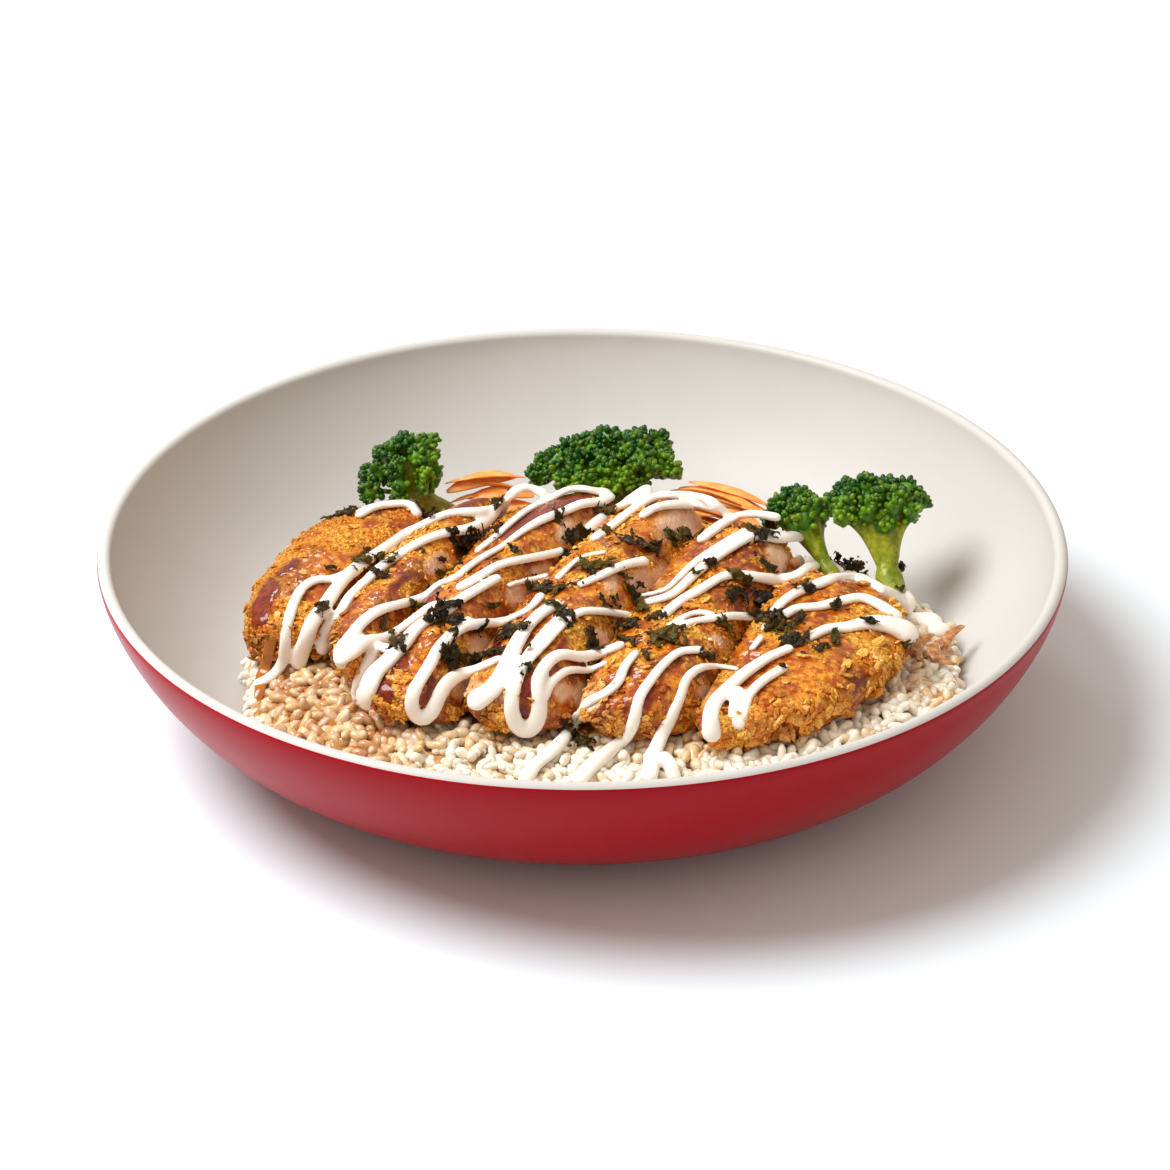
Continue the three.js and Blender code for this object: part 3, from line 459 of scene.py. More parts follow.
def noise3(x, y, z):
    """Smooth noise between -1 and 1."""
    i, j, k = np.floor(x), np.floor(y), np.floor(z)
    u, v, w = (t * t * (3 - 2 * t) for t in (x - i, y - j, z - k))

    def row(dj, dk):
        return mix(lattice(i, j + dj, k + dk), lattice(i + 1, j + dj, k + dk), u)

    return 2 * mix(mix(row(0, 0), row(1, 0), v), mix(row(0, 1), row(1, 1), v), w) - 1


def layered(points, size, octaves=3, shift=0.0):
    """Noise of several sizes, the largest bumps being size millimetres wide."""
    total, norm = 0, 0
    for octave in range(octaves):
        q = points * (2 ** octave / size) + shift + 17.3 * octave
        total = total + noise3(q[:, 0], q[:, 1], q[:, 2]) / 2 ** octave
        norm += 1 / 2 ** octave
    return total / norm


def cells(points, size, shift=0.0):
    """Distance to the nearest of scattered spots, in cells."""
    q = points / size + shift
    base = np.floor(q)
    nearest = np.full(len(q), 9.0)
    for offset in np.ndindex(3, 3, 3):
        c = base + np.array(offset) - 1
        spot = [lattice(c[:, 0] + 11.1 * a, c[:, 1] - 3.3 * a, c[:, 2] + 7.7 * a) for a in (1, 2, 3)]
        nearest = np.minimum(nearest, np.linalg.norm(c + np.stack(spot, 1) - q, axis=1))
    return nearest


def unit(rows):
    """Directions at length 1, one in each row."""
    return rows / np.maximum(np.linalg.norm(rows, axis=1, keepdims=True), 1e-9)


def powered(value, power):
    """A value raised to a power, with its sign kept."""
    return np.sign(value) * np.abs(value) ** power


def angles_round(count):
    """Evenly spaced angles round a circle."""
    return np.arange(count) / count * 2 * np.pi


def linear(colour):
    """A screen colour as linear light."""
    return (np.array(colour) / 255) ** 2.2


def tone(name):
    return linear(COLOURS[name])


def blend(a, b, t):
    return a + (b - a) * np.asarray(t)[..., None]


# Mesh helpers
def new_mesh(name, points, faces):
    faces = np.ascontiguousarray(faces, dtype=np.int32)
    count, sides = faces.shape
    mesh = bpy.data.meshes.new(name)
    mesh.vertices.add(len(points))
    mesh.vertices.foreach_set("co", (np.asarray(points) * MM).astype(np.float32).ravel())
    mesh.loops.add(count * sides)
    mesh.loops.foreach_set("vertex_index", faces.ravel())
    mesh.polygons.add(count)
    mesh.polygons.foreach_set("loop_start", np.arange(0, count * sides, sides, dtype=np.int32))
    mesh.update(calc_edges=True)
    mesh.validate()
    mesh.polygons.foreach_set("use_smooth", np.ones(len(mesh.polygons), dtype=bool))
    return mesh


def new_object(name, data):
    thing = bpy.data.objects.new(name, data)
    bpy.context.scene.collection.objects.link(thing)
    return thing


def put_values(mesh, name, values):
    """Stores a number or a colour for each vertex."""
    values = np.asarray(values, dtype=np.float32)
    if values.ndim == 1:
        mesh.attributes.new(name, "FLOAT", "POINT").data.foreach_set("value", values)
    else:
        rgba = np.concatenate([values, np.ones((len(values), 1), np.float32)], axis=1)
        mesh.attributes.new(name, "FLOAT_COLOR", "POINT").data.foreach_set("color", rgba.ravel())


def add_piece(name, points, faces, material, slot, replaced=None, **values):
    """A piece on the one body. Its values, one for each point, are there for the material to read."""
    mesh = new_mesh(name, points, faces)
    for value_name, value in values.items():
        put_values(mesh, value_name, value)
    mesh.materials.append(material)
    piece = new_object(name, mesh)
    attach(piece, "root")
    if replaced:
        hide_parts(replaced)
    return mesh


def outward(points, faces):
    """Turns all faces of a closed body round if they point inward."""
    a, b, c = (points[faces[:, i]] for i in range(3))
    volume = np.einsum("ij,ij->i", a, np.cross(b, c)).sum()
    return faces if volume > 0 else faces[:, ::-1]


def loft(rings):
    """Points and triangles of a closed body through rings, shaped (rings, around, 3)."""
    count, around = rings.shape[:2]
    points = np.concatenate([rings.reshape(-1, 3), rings[:1].mean(1), rings[-1:].mean(1)])
    r = np.arange(count - 1)[:, None] * around
    i = np.arange(around)[None, :]
    a, b = (r + i).ravel(), (r + (i + 1) % around).ravel()
    sides = np.concatenate([np.stack([a, b, b + around], 1), np.stack([a, b + around, a + around], 1)])
    i = np.arange(around)
    n = (i + 1) % around
    top = (count - 1) * around
    first = np.stack([np.full(around, count * around), n, i], 1)
    last = np.stack([np.full(around, count * around + 1), top + i, top + n], 1)
    faces = np.concatenate([sides, first, last])
    return points, outward(points, faces)


def joined(bodies):
    """One set of points and faces from several."""
    points, faces, start = [], [], 0
    for p, f in bodies:
        points.append(p)
        faces.append(f + start)
        start += len(p)
    return np.concatenate(points), np.concatenate(faces)


def vertex_normals(points, faces):
    a, b, c = (points[faces[:, i]] for i in range(3))
    face = np.cross(b - a, c - a)
    normals = np.zeros_like(points)
    for i in range(3):
        np.add.at(normals, faces[:, i], face)
    return unit(normals)


def ball(level):
    """Points and triangles of a round ball of radius 1."""
    t = (1 + math.sqrt(5)) / 2
    points = [(-1, t, 0), (1, t, 0), (-1, -t, 0), (1, -t, 0), (0, -1, t), (0, 1, t), (0, -1, -t), (0, 1, -t),
              (t, 0, -1), (t, 0, 1), (-t, 0, -1), (-t, 0, 1)]
    faces = [(0, 11, 5), (0, 5, 1), (0, 1, 7), (0, 7, 10), (0, 10, 11), (1, 5, 9), (5, 11, 4), (11, 10, 2),
             (10, 7, 6), (7, 1, 8), (3, 9, 4), (3, 4, 2), (3, 2, 6), (3, 6, 8), (3, 8, 9), (4, 9, 5),
             (2, 4, 11), (6, 2, 10), (8, 6, 7), (9, 8, 1)]
    points = [Vector(p).normalized() for p in points]
    for _ in range(level):
        middles, finer = {}, []

        def middle(a, b):
            key = (min(a, b), max(a, b))
            if key not in middles:
                middles[key] = len(points)
                points.append(((points[a] + points[b]) / 2).normalized())
            return middles[key]

        for a, b, c in faces:
            ab, bc, ca = middle(a, b), middle(b, c), middle(c, a)
            finer += [(a, ab, ca), (b, bc, ab), (c, ca, bc), (ab, bc, ca)]
        faces = finer
    return np.array(points), np.array(faces)


def turned(yaw, pitch, roll):
    """Rotation matrices from angles: roll about X, then pitch about Y, then yaw about Z."""
    cy, sy, cp, sp, cr, sr = (f(a) for a in (yaw, pitch, roll) for f in (np.cos, np.sin))
    one, zero = np.ones_like(cy), np.zeros_like(cy)
    z = [[cy, -sy, zero], [sy, cy, zero], [zero, zero, one]]
    y = [[cp, zero, sp], [zero, one, zero], [-sp, zero, cp]]
    x = [[one, zero, zero], [zero, cr, -sr], [zero, sr, cr]]
    z, y, x = (np.moveaxis(np.array(rows), 2, 0) for rows in (z, y, x))
    return z @ y @ x


def facing(normals, spin):
    """Rotation matrices that turn +Z to each normal, after a spin about it."""
    helper = np.where(np.abs(normals[:, 2:3]) < 0.9, [[0.0, 0.0, 1.0]], [[1.0, 0.0, 0.0]])
    u = unit(np.cross(helper, normals))
    v = np.cross(normals, u)
    c, s = np.cos(spin)[:, None], np.sin(spin)[:, None]
    return np.stack([u * c + v * s, v * c - u * s, normals], axis=2)


def scattered(shape, sizes, rotations, places):
    """Copies of a shape at true size, joined: sizes (n, 3), rotations (n, 3, 3), places (n, 3)."""
    points, faces = shape
    many = np.einsum("nij,nkj->nki", rotations, points[None] * sizes[:, None, :]) + places[:, None, :]
    starts = (np.arange(len(places)) * len(points))[:, None, None]
    return many.reshape(-1, 3), (faces[None] + starts).reshape(-1, 3)


def remeshed(points, faces, voxel, smoothing):
    """One skin round overlapping bodies, with even faces: its points and triangles in millimetres."""
    mesh = new_mesh("rough", points, faces)
    rough = new_object("rough", mesh)
    voxels = rough.modifiers.new("voxels", "REMESH")
    voxels.mode = "VOXEL"
    voxels.voxel_size = voxel * MM
    soft = rough.modifiers.new("soft", "SMOOTH")
    soft.factor = 0.5
    soft.iterations = smoothing
    rough.modifiers.new("triangles", "TRIANGULATE")
    done = rough.evaluated_get(bpy.context.evaluated_depsgraph_get()).to_mesh()
    out_points = np.empty(len(done.vertices) * 3)
    done.vertices.foreach_get("co", out_points)
    out_faces = np.empty(len(done.polygons) * 3, dtype=np.int32)
    done.polygons.foreach_get("vertices", out_faces)
    bpy.data.objects.remove(rough)
    bpy.data.meshes.remove(mesh)
    return out_points.reshape(-1, 3) / MM, out_faces.reshape(-1, 3)


def spline(corners, spacing):
    """Evenly spaced points on a smooth curve through the corners."""
    corners = np.array(corners, float)
    ends = np.concatenate([[2 * corners[0] - corners[1]], corners, [2 * corners[-1] - corners[-2]]])
    fine = []
    for i in range(len(corners) - 1):
        p0, p1, p2, p3 = ends[i:i + 4]
        k = [0.0]
        for a, b in ((p0, p1), (p1, p2), (p2, p3)):
            k.append(k[-1] + max(1e-6, np.linalg.norm(b - a)) ** 0.5)
        t = np.linspace(k[1], k[2], 24, endpoint=False)[:, None]
        a1 = (k[1] - t) / (k[1] - k[0]) * p0 + (t - k[0]) / (k[1] - k[0]) * p1
        a2 = (k[2] - t) / (k[2] - k[1]) * p1 + (t - k[1]) / (k[2] - k[1]) * p2
        a3 = (k[3] - t) / (k[3] - k[2]) * p2 + (t - k[2]) / (k[3] - k[2]) * p3
        b1 = (k[2] - t) / (k[2] - k[0]) * a1 + (t - k[0]) / (k[2] - k[0]) * a2
        b2 = (k[3] - t) / (k[3] - k[1]) * a2 + (t - k[1]) / (k[3] - k[1]) * a3
        fine.append((k[2] - t) / (k[2] - k[1]) * b1 + (t - k[1]) / (k[2] - k[1]) * b2)
    fine = np.concatenate(fine + [corners[-1:]])
    length = np.concatenate([[0], np.cumsum(np.linalg.norm(np.diff(fine, axis=0), axis=1))])
    count = max(3, int(round(length[-1] / spacing)) + 1)
    at = np.linspace(0, length[-1], count)
    return np.stack([np.interp(at, length, fine[:, c]) for c in range(fine.shape[1])], 1)


def tube(path, half_width, half_height, around, side):
    """A soft strand along a path of 3-D points, rounded at both ends. Sizes may be given for each point."""
    count = len(path)
    half_width = np.broadcast_to(half_width, count)
    half_height = np.broadcast_to(half_height, count)
    tangent = unit(np.gradient(path, axis=0))
    across = unit(np.broadcast_to(side, tangent.shape))
    up = np.cross(tangent, across)
    angle = angles_round(around)
    cap = np.linspace(0.12, 1, 4) * np.pi / 2
    cap = list(zip(np.sin(cap), np.cos(cap)))[:-1]
    rows = [(path[0] - tangent[0] * back * half_width[0], 0, share) for share, back in cap]
    rows += [(path[i], i, 1.0) for i in range(count)]
    rows += [(path[-1] + tangent[-1] * back * half_width[-1], count - 1, share) for share, back in cap[::-1]]
    rings = []
    for centre, i, share in rows:
        ring = centre + share * (np.cos(angle)[:, None] * half_width[i] * across[i]
                                 + np.sin(angle)[:, None] * half_height[i] * up[i])
        rings.append(ring)
    return loft(np.array(rings))


# The camera's eye, the way it looks, the way that is up in its frame, and its focal length in pixels
EYE = np.array(CAMERA_TARGET) + CAMERA_DISTANCE * np.array(
    [0, -math.cos(CAMERA_ELEVATION), math.sin(CAMERA_ELEVATION)])
AHEAD = (np.array(CAMERA_TARGET) - EYE) / CAMERA_DISTANCE
UPWARD = np.cross([1, 0, 0], AHEAD)
FOCAL = CAMERA_LENS / SENSOR_WIDTH * FRAME_WIDTH


def sight(px, py):
    """Direction from the camera through a pixel of the frame."""
    right = np.array([1, 0, 0]) * (px - FRAME_WIDTH / 2) / FOCAL
    up = UPWARD * (FRAME_WIDTH / 2 - py) / FOCAL
    way = AHEAD + right + up
    return way / np.linalg.norm(way)


def picture(points):
    """Pixels of the frame where points show."""
    way = points - EYE
    depth = way @ AHEAD
    return FRAME_WIDTH / 2 + FOCAL * way[:, 0] / depth, FRAME_WIDTH / 2 - FOCAL * (way @ UPWARD) / depth


class Ground:
    """The surface of what has been laid so far, in millimetres."""

    def __init__(self, bodies):
        points, faces = joined(bodies)
        self.tree = BVHTree.FromPolygons(points.tolist(), faces.tolist())

    def height(self, x, y):
        """Height of the surface at a place, or None beside it."""
        hit = self.tree.ray_cast(Vector((x, y, ABOVE_ALL)), Vector((0, 0, -1)))
        return hit[0].z if hit[0] is not None else None

    def seen(self, px, py):
        """Distance from the camera to what shows at a pixel, and the direction that its surface faces."""
        for lower in range(0, SEARCH_DOWN, SEARCH_STEP):
            hit = self.tree.ray_cast(Vector(EYE), Vector(sight(px, py + lower)))
            if hit[0] is not None:
                return hit[3], np.array(hit[1])
        return math.nan, np.array([0, 0, 1.0])

    def spot(self, px, py):
        return EYE + sight(px, py) * self.seen(px, py)[0]


# Materials, and the colour sockets of a mix node
COLOUR_INPUTS = (6, 7)
COLOUR_OUTPUT = 2


class Paint:
    """A material built node by node. Values that are the same all over sit on the shader's own sockets."""

    def __init__(self, name, **values):
        self.material = bpy.data.materials.new(name)
        self.material.use_nodes = True
        self.nodes = self.material.node_tree.nodes
        self.links = self.material.node_tree.links
        self.shader = self.nodes["Principled BSDF"]
        for socket, value in values.items():
            self.shader.inputs[socket.replace("_", " ")].default_value = value
        self.place = self.nodes.new("ShaderNodeTexCoord").outputs["Object"]

    def put(self, socket, value):
        if isinstance(value, bpy.types.NodeSocket):
            self.links.new(value, socket)
        elif isinstance(value, np.ndarray):
            socket.default_value = (*value, 1)
        else:
            socket.default_value = value

    def set(self, socket, value):
        self.put(self.shader.inputs[socket], value)

    def value(self, name, kind="Fac"):
        node = self.nodes.new("ShaderNodeAttribute")
        node.attribute_name = name
        return node.outputs[kind]

    def tint(self):
        return self.value("tint", "Color")

    def noise(self, size, detail=3, roughness=0.55, distortion=0, stretch=(1, 1, 1)):
        mapping = self.nodes.new("ShaderNodeMapping")
        self.put(mapping.inputs["Vector"], self.place)
        mapping.inputs["Scale"].default_value = stretch
        node = self.nodes.new("ShaderNodeTexNoise")
        self.put(node.inputs["Vector"], mapping.outputs["Vector"])
        node.inputs["Scale"].default_value = 1 / (size * MM)
        node.inputs["Detail"].default_value = detail
        node.inputs["Roughness"].default_value = roughness
        node.inputs["Distortion"].default_value = distortion
        return node.outputs["Fac"]

    def spots(self, size):
        node = self.nodes.new("ShaderNodeTexVoronoi")
        self.put(node.inputs["Vector"], self.place)
        node.inputs["Scale"].default_value = 1 / (size * MM)
        return node.outputs["Distance"]

    def math(self, operation, a, b):
        node = self.nodes.new("ShaderNodeMath")
        node.operation = operation
        self.put(node.inputs[0], a)
        self.put(node.inputs[1], b)
        return node.outputs[0]

    def span(self, value, low, high, to_low=0.0, to_high=1.0):
        node = self.nodes.new("ShaderNodeMapRange")
        node.interpolation_type = "SMOOTHSTEP"
        self.put(node.inputs["Value"], value)
        for socket, number in zip(("From Min", "From Max", "To Min", "To Max"), (low, high, to_low, to_high)):
            node.inputs[socket].default_value = number
        return node.outputs["Result"]

    def mix(self, share, a, b, how="MIX"):
        node = self.nodes.new("ShaderNodeMix")
        node.data_type = "RGBA"
        node.blend_type = how
        self.put(node.inputs["Factor"], share)
        for socket, colour in zip(COLOUR_INPUTS, (a, b)):
            self.put(node.inputs[socket], colour)
        return node.outputs[COLOUR_OUTPUT]

    def darker(self, colour, name):
        """A colour multiplied by a tone."""
        return self.mix(1.0, colour, tone(name), "MULTIPLY")

    def bump(self, height, depth, strength):
        node = self.nodes.new("ShaderNodeBump")
        node.inputs["Strength"].default_value = strength
        node.inputs["Distance"].default_value = depth * MM
        self.put(node.inputs["Height"], height)
        return node.outputs["Normal"]

    def cover(self, colour, cloud, roughness, relief, depth, strength, edges=(0.2, 0.8)):
        """Sets the colour, a roughness that follows a noise between its edges, and a relief in mm."""
        self.set("Base Color", colour)
        self.set("Roughness", self.span(cloud, *edges, *roughness))
        self.set("Normal", self.bump(relief, depth, strength))
        return self.material


def cream_shell():
    paint = Paint("cream_shell", Specular_IOR_Level=0.22)
    cloud = paint.noise(22)
    colour = paint.mix(cloud, tone("cream"), tone("light_cream"))
    return paint.cover(colour, cloud, (0.38, 0.48), paint.noise(0.8, 2), depth=0.02, strength=0.4)


def red_shell():
    paint = Paint("red_shell", Specular_IOR_Level=0.14)
    cloud = paint.noise(30)
    colour = paint.mix(cloud, tone("red"), tone("light_red"))
    return paint.cover(colour, cloud, (0.3, 0.38), paint.noise(0.7, 2), depth=0.02, strength=0.5)


def rice_grain():
    paint = Paint("rice_grain", Specular_IOR_Level=0.5, Subsurface_Weight=0.3, Subsurface_Scale=0.0008,
                  Subsurface_Radius=(1.0, 0.9, 0.75))
    cloud = paint.noise(2.2, 2, 0.5)
    colour = paint.mix(paint.span(cloud, 0.35, 0.75, 0.0, 0.3), paint.tint(), tone("rice_sheen"))
    return paint.cover(colour, cloud, (0.14, 0.28), cloud, depth=0.2, strength=0.5)


def rice_under():
    paint = Paint("rice_under", Roughness=0.16, Specular_IOR_Level=0.5)
    lumps = paint.spots(3.2)
    paint.set("Base Color", paint.mix(lumps, paint.tint(), tone("sauce")))
    paint.set("Normal", paint.bump(lumps, depth=0.8, strength=0.8))
    return paint.material


def fried_crust():
    """Crisp crumbs where dry, and amber glaze with pools and a broken gloss where wet."""
    paint = Paint("fried_crust", Specular_IOR_Level=0.12, Coat_Roughness=0.04)
    tint = paint.tint()
    wet = paint.value("wet")
    grain = paint.noise(0.8, 4, 0.65)
    # Darker where the crumb relief sinks: painted shade in its hollows.
    hollow = paint.darker(tint, "crust_hollow_shade")
    tip = paint.mix(0.16, tint, tone("crust_tip"))
    dry_colour = paint.mix(paint.span(grain, 0.35, 0.65), hollow, tip)
    thin = paint.math("MAXIMUM", paint.span(paint.noise(2.4, 4, 0.6), 0.4, 0.6), paint.value("bare"))
    wet_colour = paint.mix(thin, paint.darker(tint, "deep_glaze"), tint)
    paint.set("Base Color", paint.mix(wet, dry_colour, wet_colour))
    uneven = paint.span(grain, 0, 1, -0.08, 0.08)
    paint.set("Roughness", paint.math("ADD", paint.span(wet, 0, 1, 0.5, 0.2), uneven))
    paint.set("Coat Weight", paint.span(wet, 0.1, 0.8, 0.03, 0.65))
    rough = paint.math("ADD", paint.math("MULTIPLY", paint.spots(1.1), -0.7), grain)
    rough = paint.math("MULTIPLY", rough, paint.span(wet, 0, 1, 1.0, 0.15))
    ripple = paint.math("MULTIPLY", paint.noise(1.3, 3, 0.6), paint.span(wet, 0, 1, 0.0, 0.9))
    paint.set("Normal", paint.bump(paint.math("ADD", rough, ripple), depth=0.7, strength=1.0))
    return paint.material


def panko_crumb():
    paint = Paint("panko_crumb", Specular_IOR_Level=0.2, Coat_Weight=0.25, Coat_Roughness=0.08)
    grain = paint.noise(0.5)
    tint = paint.tint()
    # Darker where the crumb's relief sinks: painted shade in its hollows.
    colour = paint.mix(paint.span(grain, 0.3, 0.6), paint.darker(tint, "crumb_hollow_shade"), tint)
    return paint.cover(colour, grain, (0.2, 0.45), grain, depth=0.2, strength=0.6)


def mayonnaise():
    paint = Paint("mayonnaise", Specular_IOR_Level=0.35, Subsurface_Weight=0.5, Subsurface_Scale=0.0015,
                  Subsurface_Radius=(1.0, 0.75, 0.6))
    cloud = paint.noise(5)
    colour = paint.mix(cloud, tone("mayonnaise"), tone("light_mayonnaise"))
    return paint.cover(colour, cloud, (0.3, 0.44), paint.noise(1.8, 2), depth=0.08, strength=0.3)


def dark_glaze():
    paint = Paint("dark_glaze", Specular_IOR_Level=0.4, Coat_Weight=0.3, Coat_Roughness=0.04)
    cloud = paint.noise(3)
    colour = paint.mix(cloud, tone("run"), tone("light_run"))
    return paint.cover(colour, cloud, (0.08, 0.2), paint.noise(1.5, 2), depth=0.1, strength=0.4)


def seaweed():
    paint = Paint("seaweed", Specular_IOR_Level=0.14, Coat_Weight=0.12, Coat_Roughness=0.04)
    crinkle = paint.noise(0.9, 4, 0.65)
    # Lighter olive on the raised crinkles that the bump lifts: a painted sheen.
    colour = paint.mix(paint.span(crinkle, 0.52, 0.75), paint.tint(), tone("seaweed_painted_sheen"))
    return paint.cover(colour, crinkle, (0.25, 0.55), crinkle, depth=0.6, strength=1.0, edges=(0.3, 0.7))


def broccoli():
    paint = Paint("broccoli", Specular_IOR_Level=0.3, Subsurface_Weight=0.15, Subsurface_Scale=0.0012,
                  Subsurface_Radius=(0.6, 1.0, 0.1), Coat_Weight=0.12, Coat_Roughness=0.15)
    grain = paint.noise(0.9)
    tint = paint.tint()
    # Darker where the floret's relief sinks: painted shade in its hollows.
    colour = paint.mix(paint.span(grain, 0.3, 0.7), paint.darker(tint, "floret_hollow_shade"), tint)
    return paint.cover(colour, grain, (0.3, 0.5), grain, depth=0.15, strength=0.6)


def carrot_flesh():
    paint = Paint("carrot_flesh", Specular_IOR_Level=0.35, Subsurface_Weight=0.25, Subsurface_Scale=0.0015)
    fibre = paint.noise(1.4, 3, 0.6, stretch=(0.35, 1, 1))
    colour = paint.mix(paint.span(fibre, 0.3, 0.7), tone("carrot"), tone("light_carrot"))
    return paint.cover(colour, fibre, (0.28, 0.45), fibre, depth=0.12, strength=0.6)


def browned_onion():
    paint = Paint("browned_onion", Specular_IOR_Level=0.5, Subsurface_Weight=0.3, Subsurface_Scale=0.0015,
                  Coat_Weight=0.35, Coat_Roughness=0.08)
    vein = paint.noise(1.4, 3, 0.6, distortion=0.4)
    colour = paint.mix(paint.span(vein, 0.3, 0.7), tone("onion"), tone("light_onion"))
    return paint.cover(colour, vein, (0.14, 0.3), vein, depth=0.25, strength=0.7)


# Bowl: a shallow coupe, cream inside and over its lip, deep red outside
def wall_shape(t):
    return (1 - (1 - t) ** WALL_FLATNESS) ** (1 / WALL_ROUNDNESS)


def bowl_floor(radius):
    """Height of the bowl's inside at a radius."""
    share = np.clip((radius - INNER_FLOOR_RADIUS) / (INNER_RIM_RADIUS - INNER_FLOOR_RADIUS), 0, 1)
    t = 1 - (1 - share ** WALL_ROUNDNESS) ** (1 / WALL_FLATNESS)
    return INNER_FLOOR_Z + (BOWL_HEIGHT - INNER_FLOOR_Z) * t


def bowl_profile():
    """The bowl's section from the middle of its underside to the middle of its floor, and its red rows."""
    lip = WALL_THICKNESS / 2
    lip_base = BOWL_HEIGHT - lip
    wall = np.linspace(0, 1, WALL_RINGS + 1) ** 2
    inner = [(FOOT_INNER_RADIUS - FOOT_ROUNDING, FOOT_HEIGHT), (FOOT_INNER_RADIUS, FOOT_HEIGHT - FOOT_DROP),
             (FOOT_INNER_RADIUS + FOOT_ROUNDING, FOOT_EDGE),
             (FOOT_INNER_RADIUS + FOOT_ROUNDING + FOOT_EDGE, 0)]
    middle = FOOT_INNER_RADIUS + FOOT_OUTER_RADIUS
    profile = [(0, FOOT_HEIGHT), *inner, *((middle - radius, z) for radius, z in inner[::-1])]
    profile += [(mix(BASE_RADIUS, RIM_RADIUS, wall_shape(t)), mix(FOOT_HEIGHT, lip_base, t)) for t in wall]
    red_rows = len(profile) + RED_LIP_ROWS - 1
    for angle in np.radians(np.arange(LIP_STEP, 180, LIP_STEP)):
        profile.append((RIM_RADIUS - lip + lip * math.cos(angle), lip_base + lip * math.sin(angle)))
    profile += [(mix(INNER_FLOOR_RADIUS, INNER_RIM_RADIUS, wall_shape(t)), mix(INNER_FLOOR_Z, lip_base, t))
                for t in wall[::-1]]
    profile.append((0, INNER_FLOOR_Z))
    return np.array(profile), red_rows


def build_bowl():
    profile, red_rows = bowl_profile()
    angle = angles_round(BOWL_SECTORS)
    radius, z = profile[1:-1, :1], profile[1:-1, 1:]
    rings = np.stack([radius * np.cos(angle), radius * np.sin(angle), np.repeat(z, BOWL_SECTORS, 1)], 2)
    points, faces = loft(rings)
    mesh = add_piece("bowl_shell", points, faces, cream_shell(), "bowl_shell", "bowl")
    mesh.materials.append(red_shell())
    row = np.arange(len(faces)) // BOWL_SECTORS
    rows = len(rings) - 1
    red = np.where(row < 2 * rows, row % rows < red_rows - 1, row == 2 * rows)
    mesh.polygons.foreach_set("material_index", red.astype(np.int32))


# Rice: outline, height and how far it is soaked
def rice_outline(angle):
    depth = np.where(np.sin(angle) > 0, RICE_BACK, RICE_FRONT)
    across = (np.abs(np.cos(angle)) / RICE_HALF_WIDTH) ** RICE_SQUARENESS
    along = (np.abs(np.sin(angle)) / depth) ** RICE_SQUARENESS
    wave = noise3(3 * np.cos(angle), 3 * np.sin(angle), np.full_like(angle, 5.5))
    return (across + along) ** (-1 / RICE_SQUARENESS) + RICE_WAVINESS * wave


def rice_place(angle, reach):
    """The place at a reach from the middle of the rice, and the height of the bowl's floor there."""
    x, y = RICE_SHIFT[0] + reach * np.cos(angle), RICE_SHIFT[1] + reach * np.sin(angle)
    return x, y, bowl_floor(np.hypot(x, y))


def rice_top(x, y):
    dx, dy = np.asarray(x, float) - RICE_SHIFT[0], np.asarray(y, float) - RICE_SHIFT[1]
    angle = np.arctan2(dy, dx)
    outline = rice_outline(angle)
    share = np.clip(np.hypot(dx, dy) / outline, 0, 1)
    edge = rice_place(angle, outline)[2] + RICE_EDGE_HEIGHT
    return edge + (RICE_LEVEL - edge) * np.sqrt(1 - share ** RICE_EDGE_STEEPNESS)


def soaking(x, y):
    """How much sauce has run into the rice at the front left."""
    slanted = x + SOAKED_SLANT * (y - SOAKED_PIVOT)
    return smooth(*SOAKED_LEFT, x) * smooth(*SOAKED_RIGHT, slanted) * smooth(*SOAKED_BACK, y)


def flattened(points):
    return points * [1, 1, 0]


def rice_colour(points, wobble):
    """White at the left rim, the front and the right, soaked brown in between at the front left."""
    x, y = points[:, 0], points[:, 1]
    middle = smooth(70, 20, np.abs(x - STAINED_MIDDLE)) * smooth(-70, -60, y) * STAINED_MIDDLE_SHARE
    right = smooth(*STAINED_RIGHT, x) * smooth(-60, -30, y) * STAINED_RIGHT_SHARE
    blotch = layered(flattened(points), RICE_BLOTCH, 3, 3.3)
    stain = np.maximum.reduce([SOAKED_BROWNING * soaking(x, y), middle, right])
    share = np.clip(stain + RICE_BLOTCH_SHARE * blotch + wobble, 0, 1)
    colour = blend(tone("white_rice"), tone("beige_rice"), smooth(0, 0.6, share))
    return blend(colour, tone("brown_rice"), smooth(0.6, 1.1, share))


def rice_shape():
    """The heap under the loose grains."""
    angle = angles_round(RICE_CORE_SECTORS)
    outline = rice_outline(angle) - RICE_CORE_INSET
    loops = []
    for share in RICE_FLOOR_LOOPS:
        x, y, floor = rice_place(angle, outline * share)
        loops.append(np.stack([x, y, floor + RICE_FLOOR_GAP], 1))
    for share in 1 - np.linspace(0.004, 0.96, RICE_CORE_RINGS) ** 1.5:
        x, y, floor = rice_place(angle, outline * share)
        z = rice_top(x, y) - RICE_CORE_DEPTH * smooth(1.0, 0.94, share)
        loops.append(np.stack([x, y, np.maximum(z, floor + RICE_FLOOR_GAP + 0.3)], 1))
    points, faces = loft(np.array(loops))
    upper = vertex_normals(points, faces)[:, 2] > 0
    near = cells(points, RICE_LUMP, 2.2)
    pools = smooth(0.0, 0.35, layered(flattened(points), SAUCE_POOL, 2, 6.6))
    pools = pools * soaking(points[:, 0], points[:, 1])
    lumps = RICE_LUMP_DEPTH * near * (1 - pools)
    points[:, 2] += upper * (RICE_CORE_RISE - lumps + SAUCE_POOL_RISE * pools)
    return points, faces


def build_rice_core(points, faces):
    # The heap under the grains is browner and darker than the grains: painted shade in the gaps between them.
    tint = rice_colour(points, 0.2) * CORE_PAINTED_SHADE
    add_piece("rice_core", points, faces, rice_under(), "rice", "rice_bed", tint=tint)


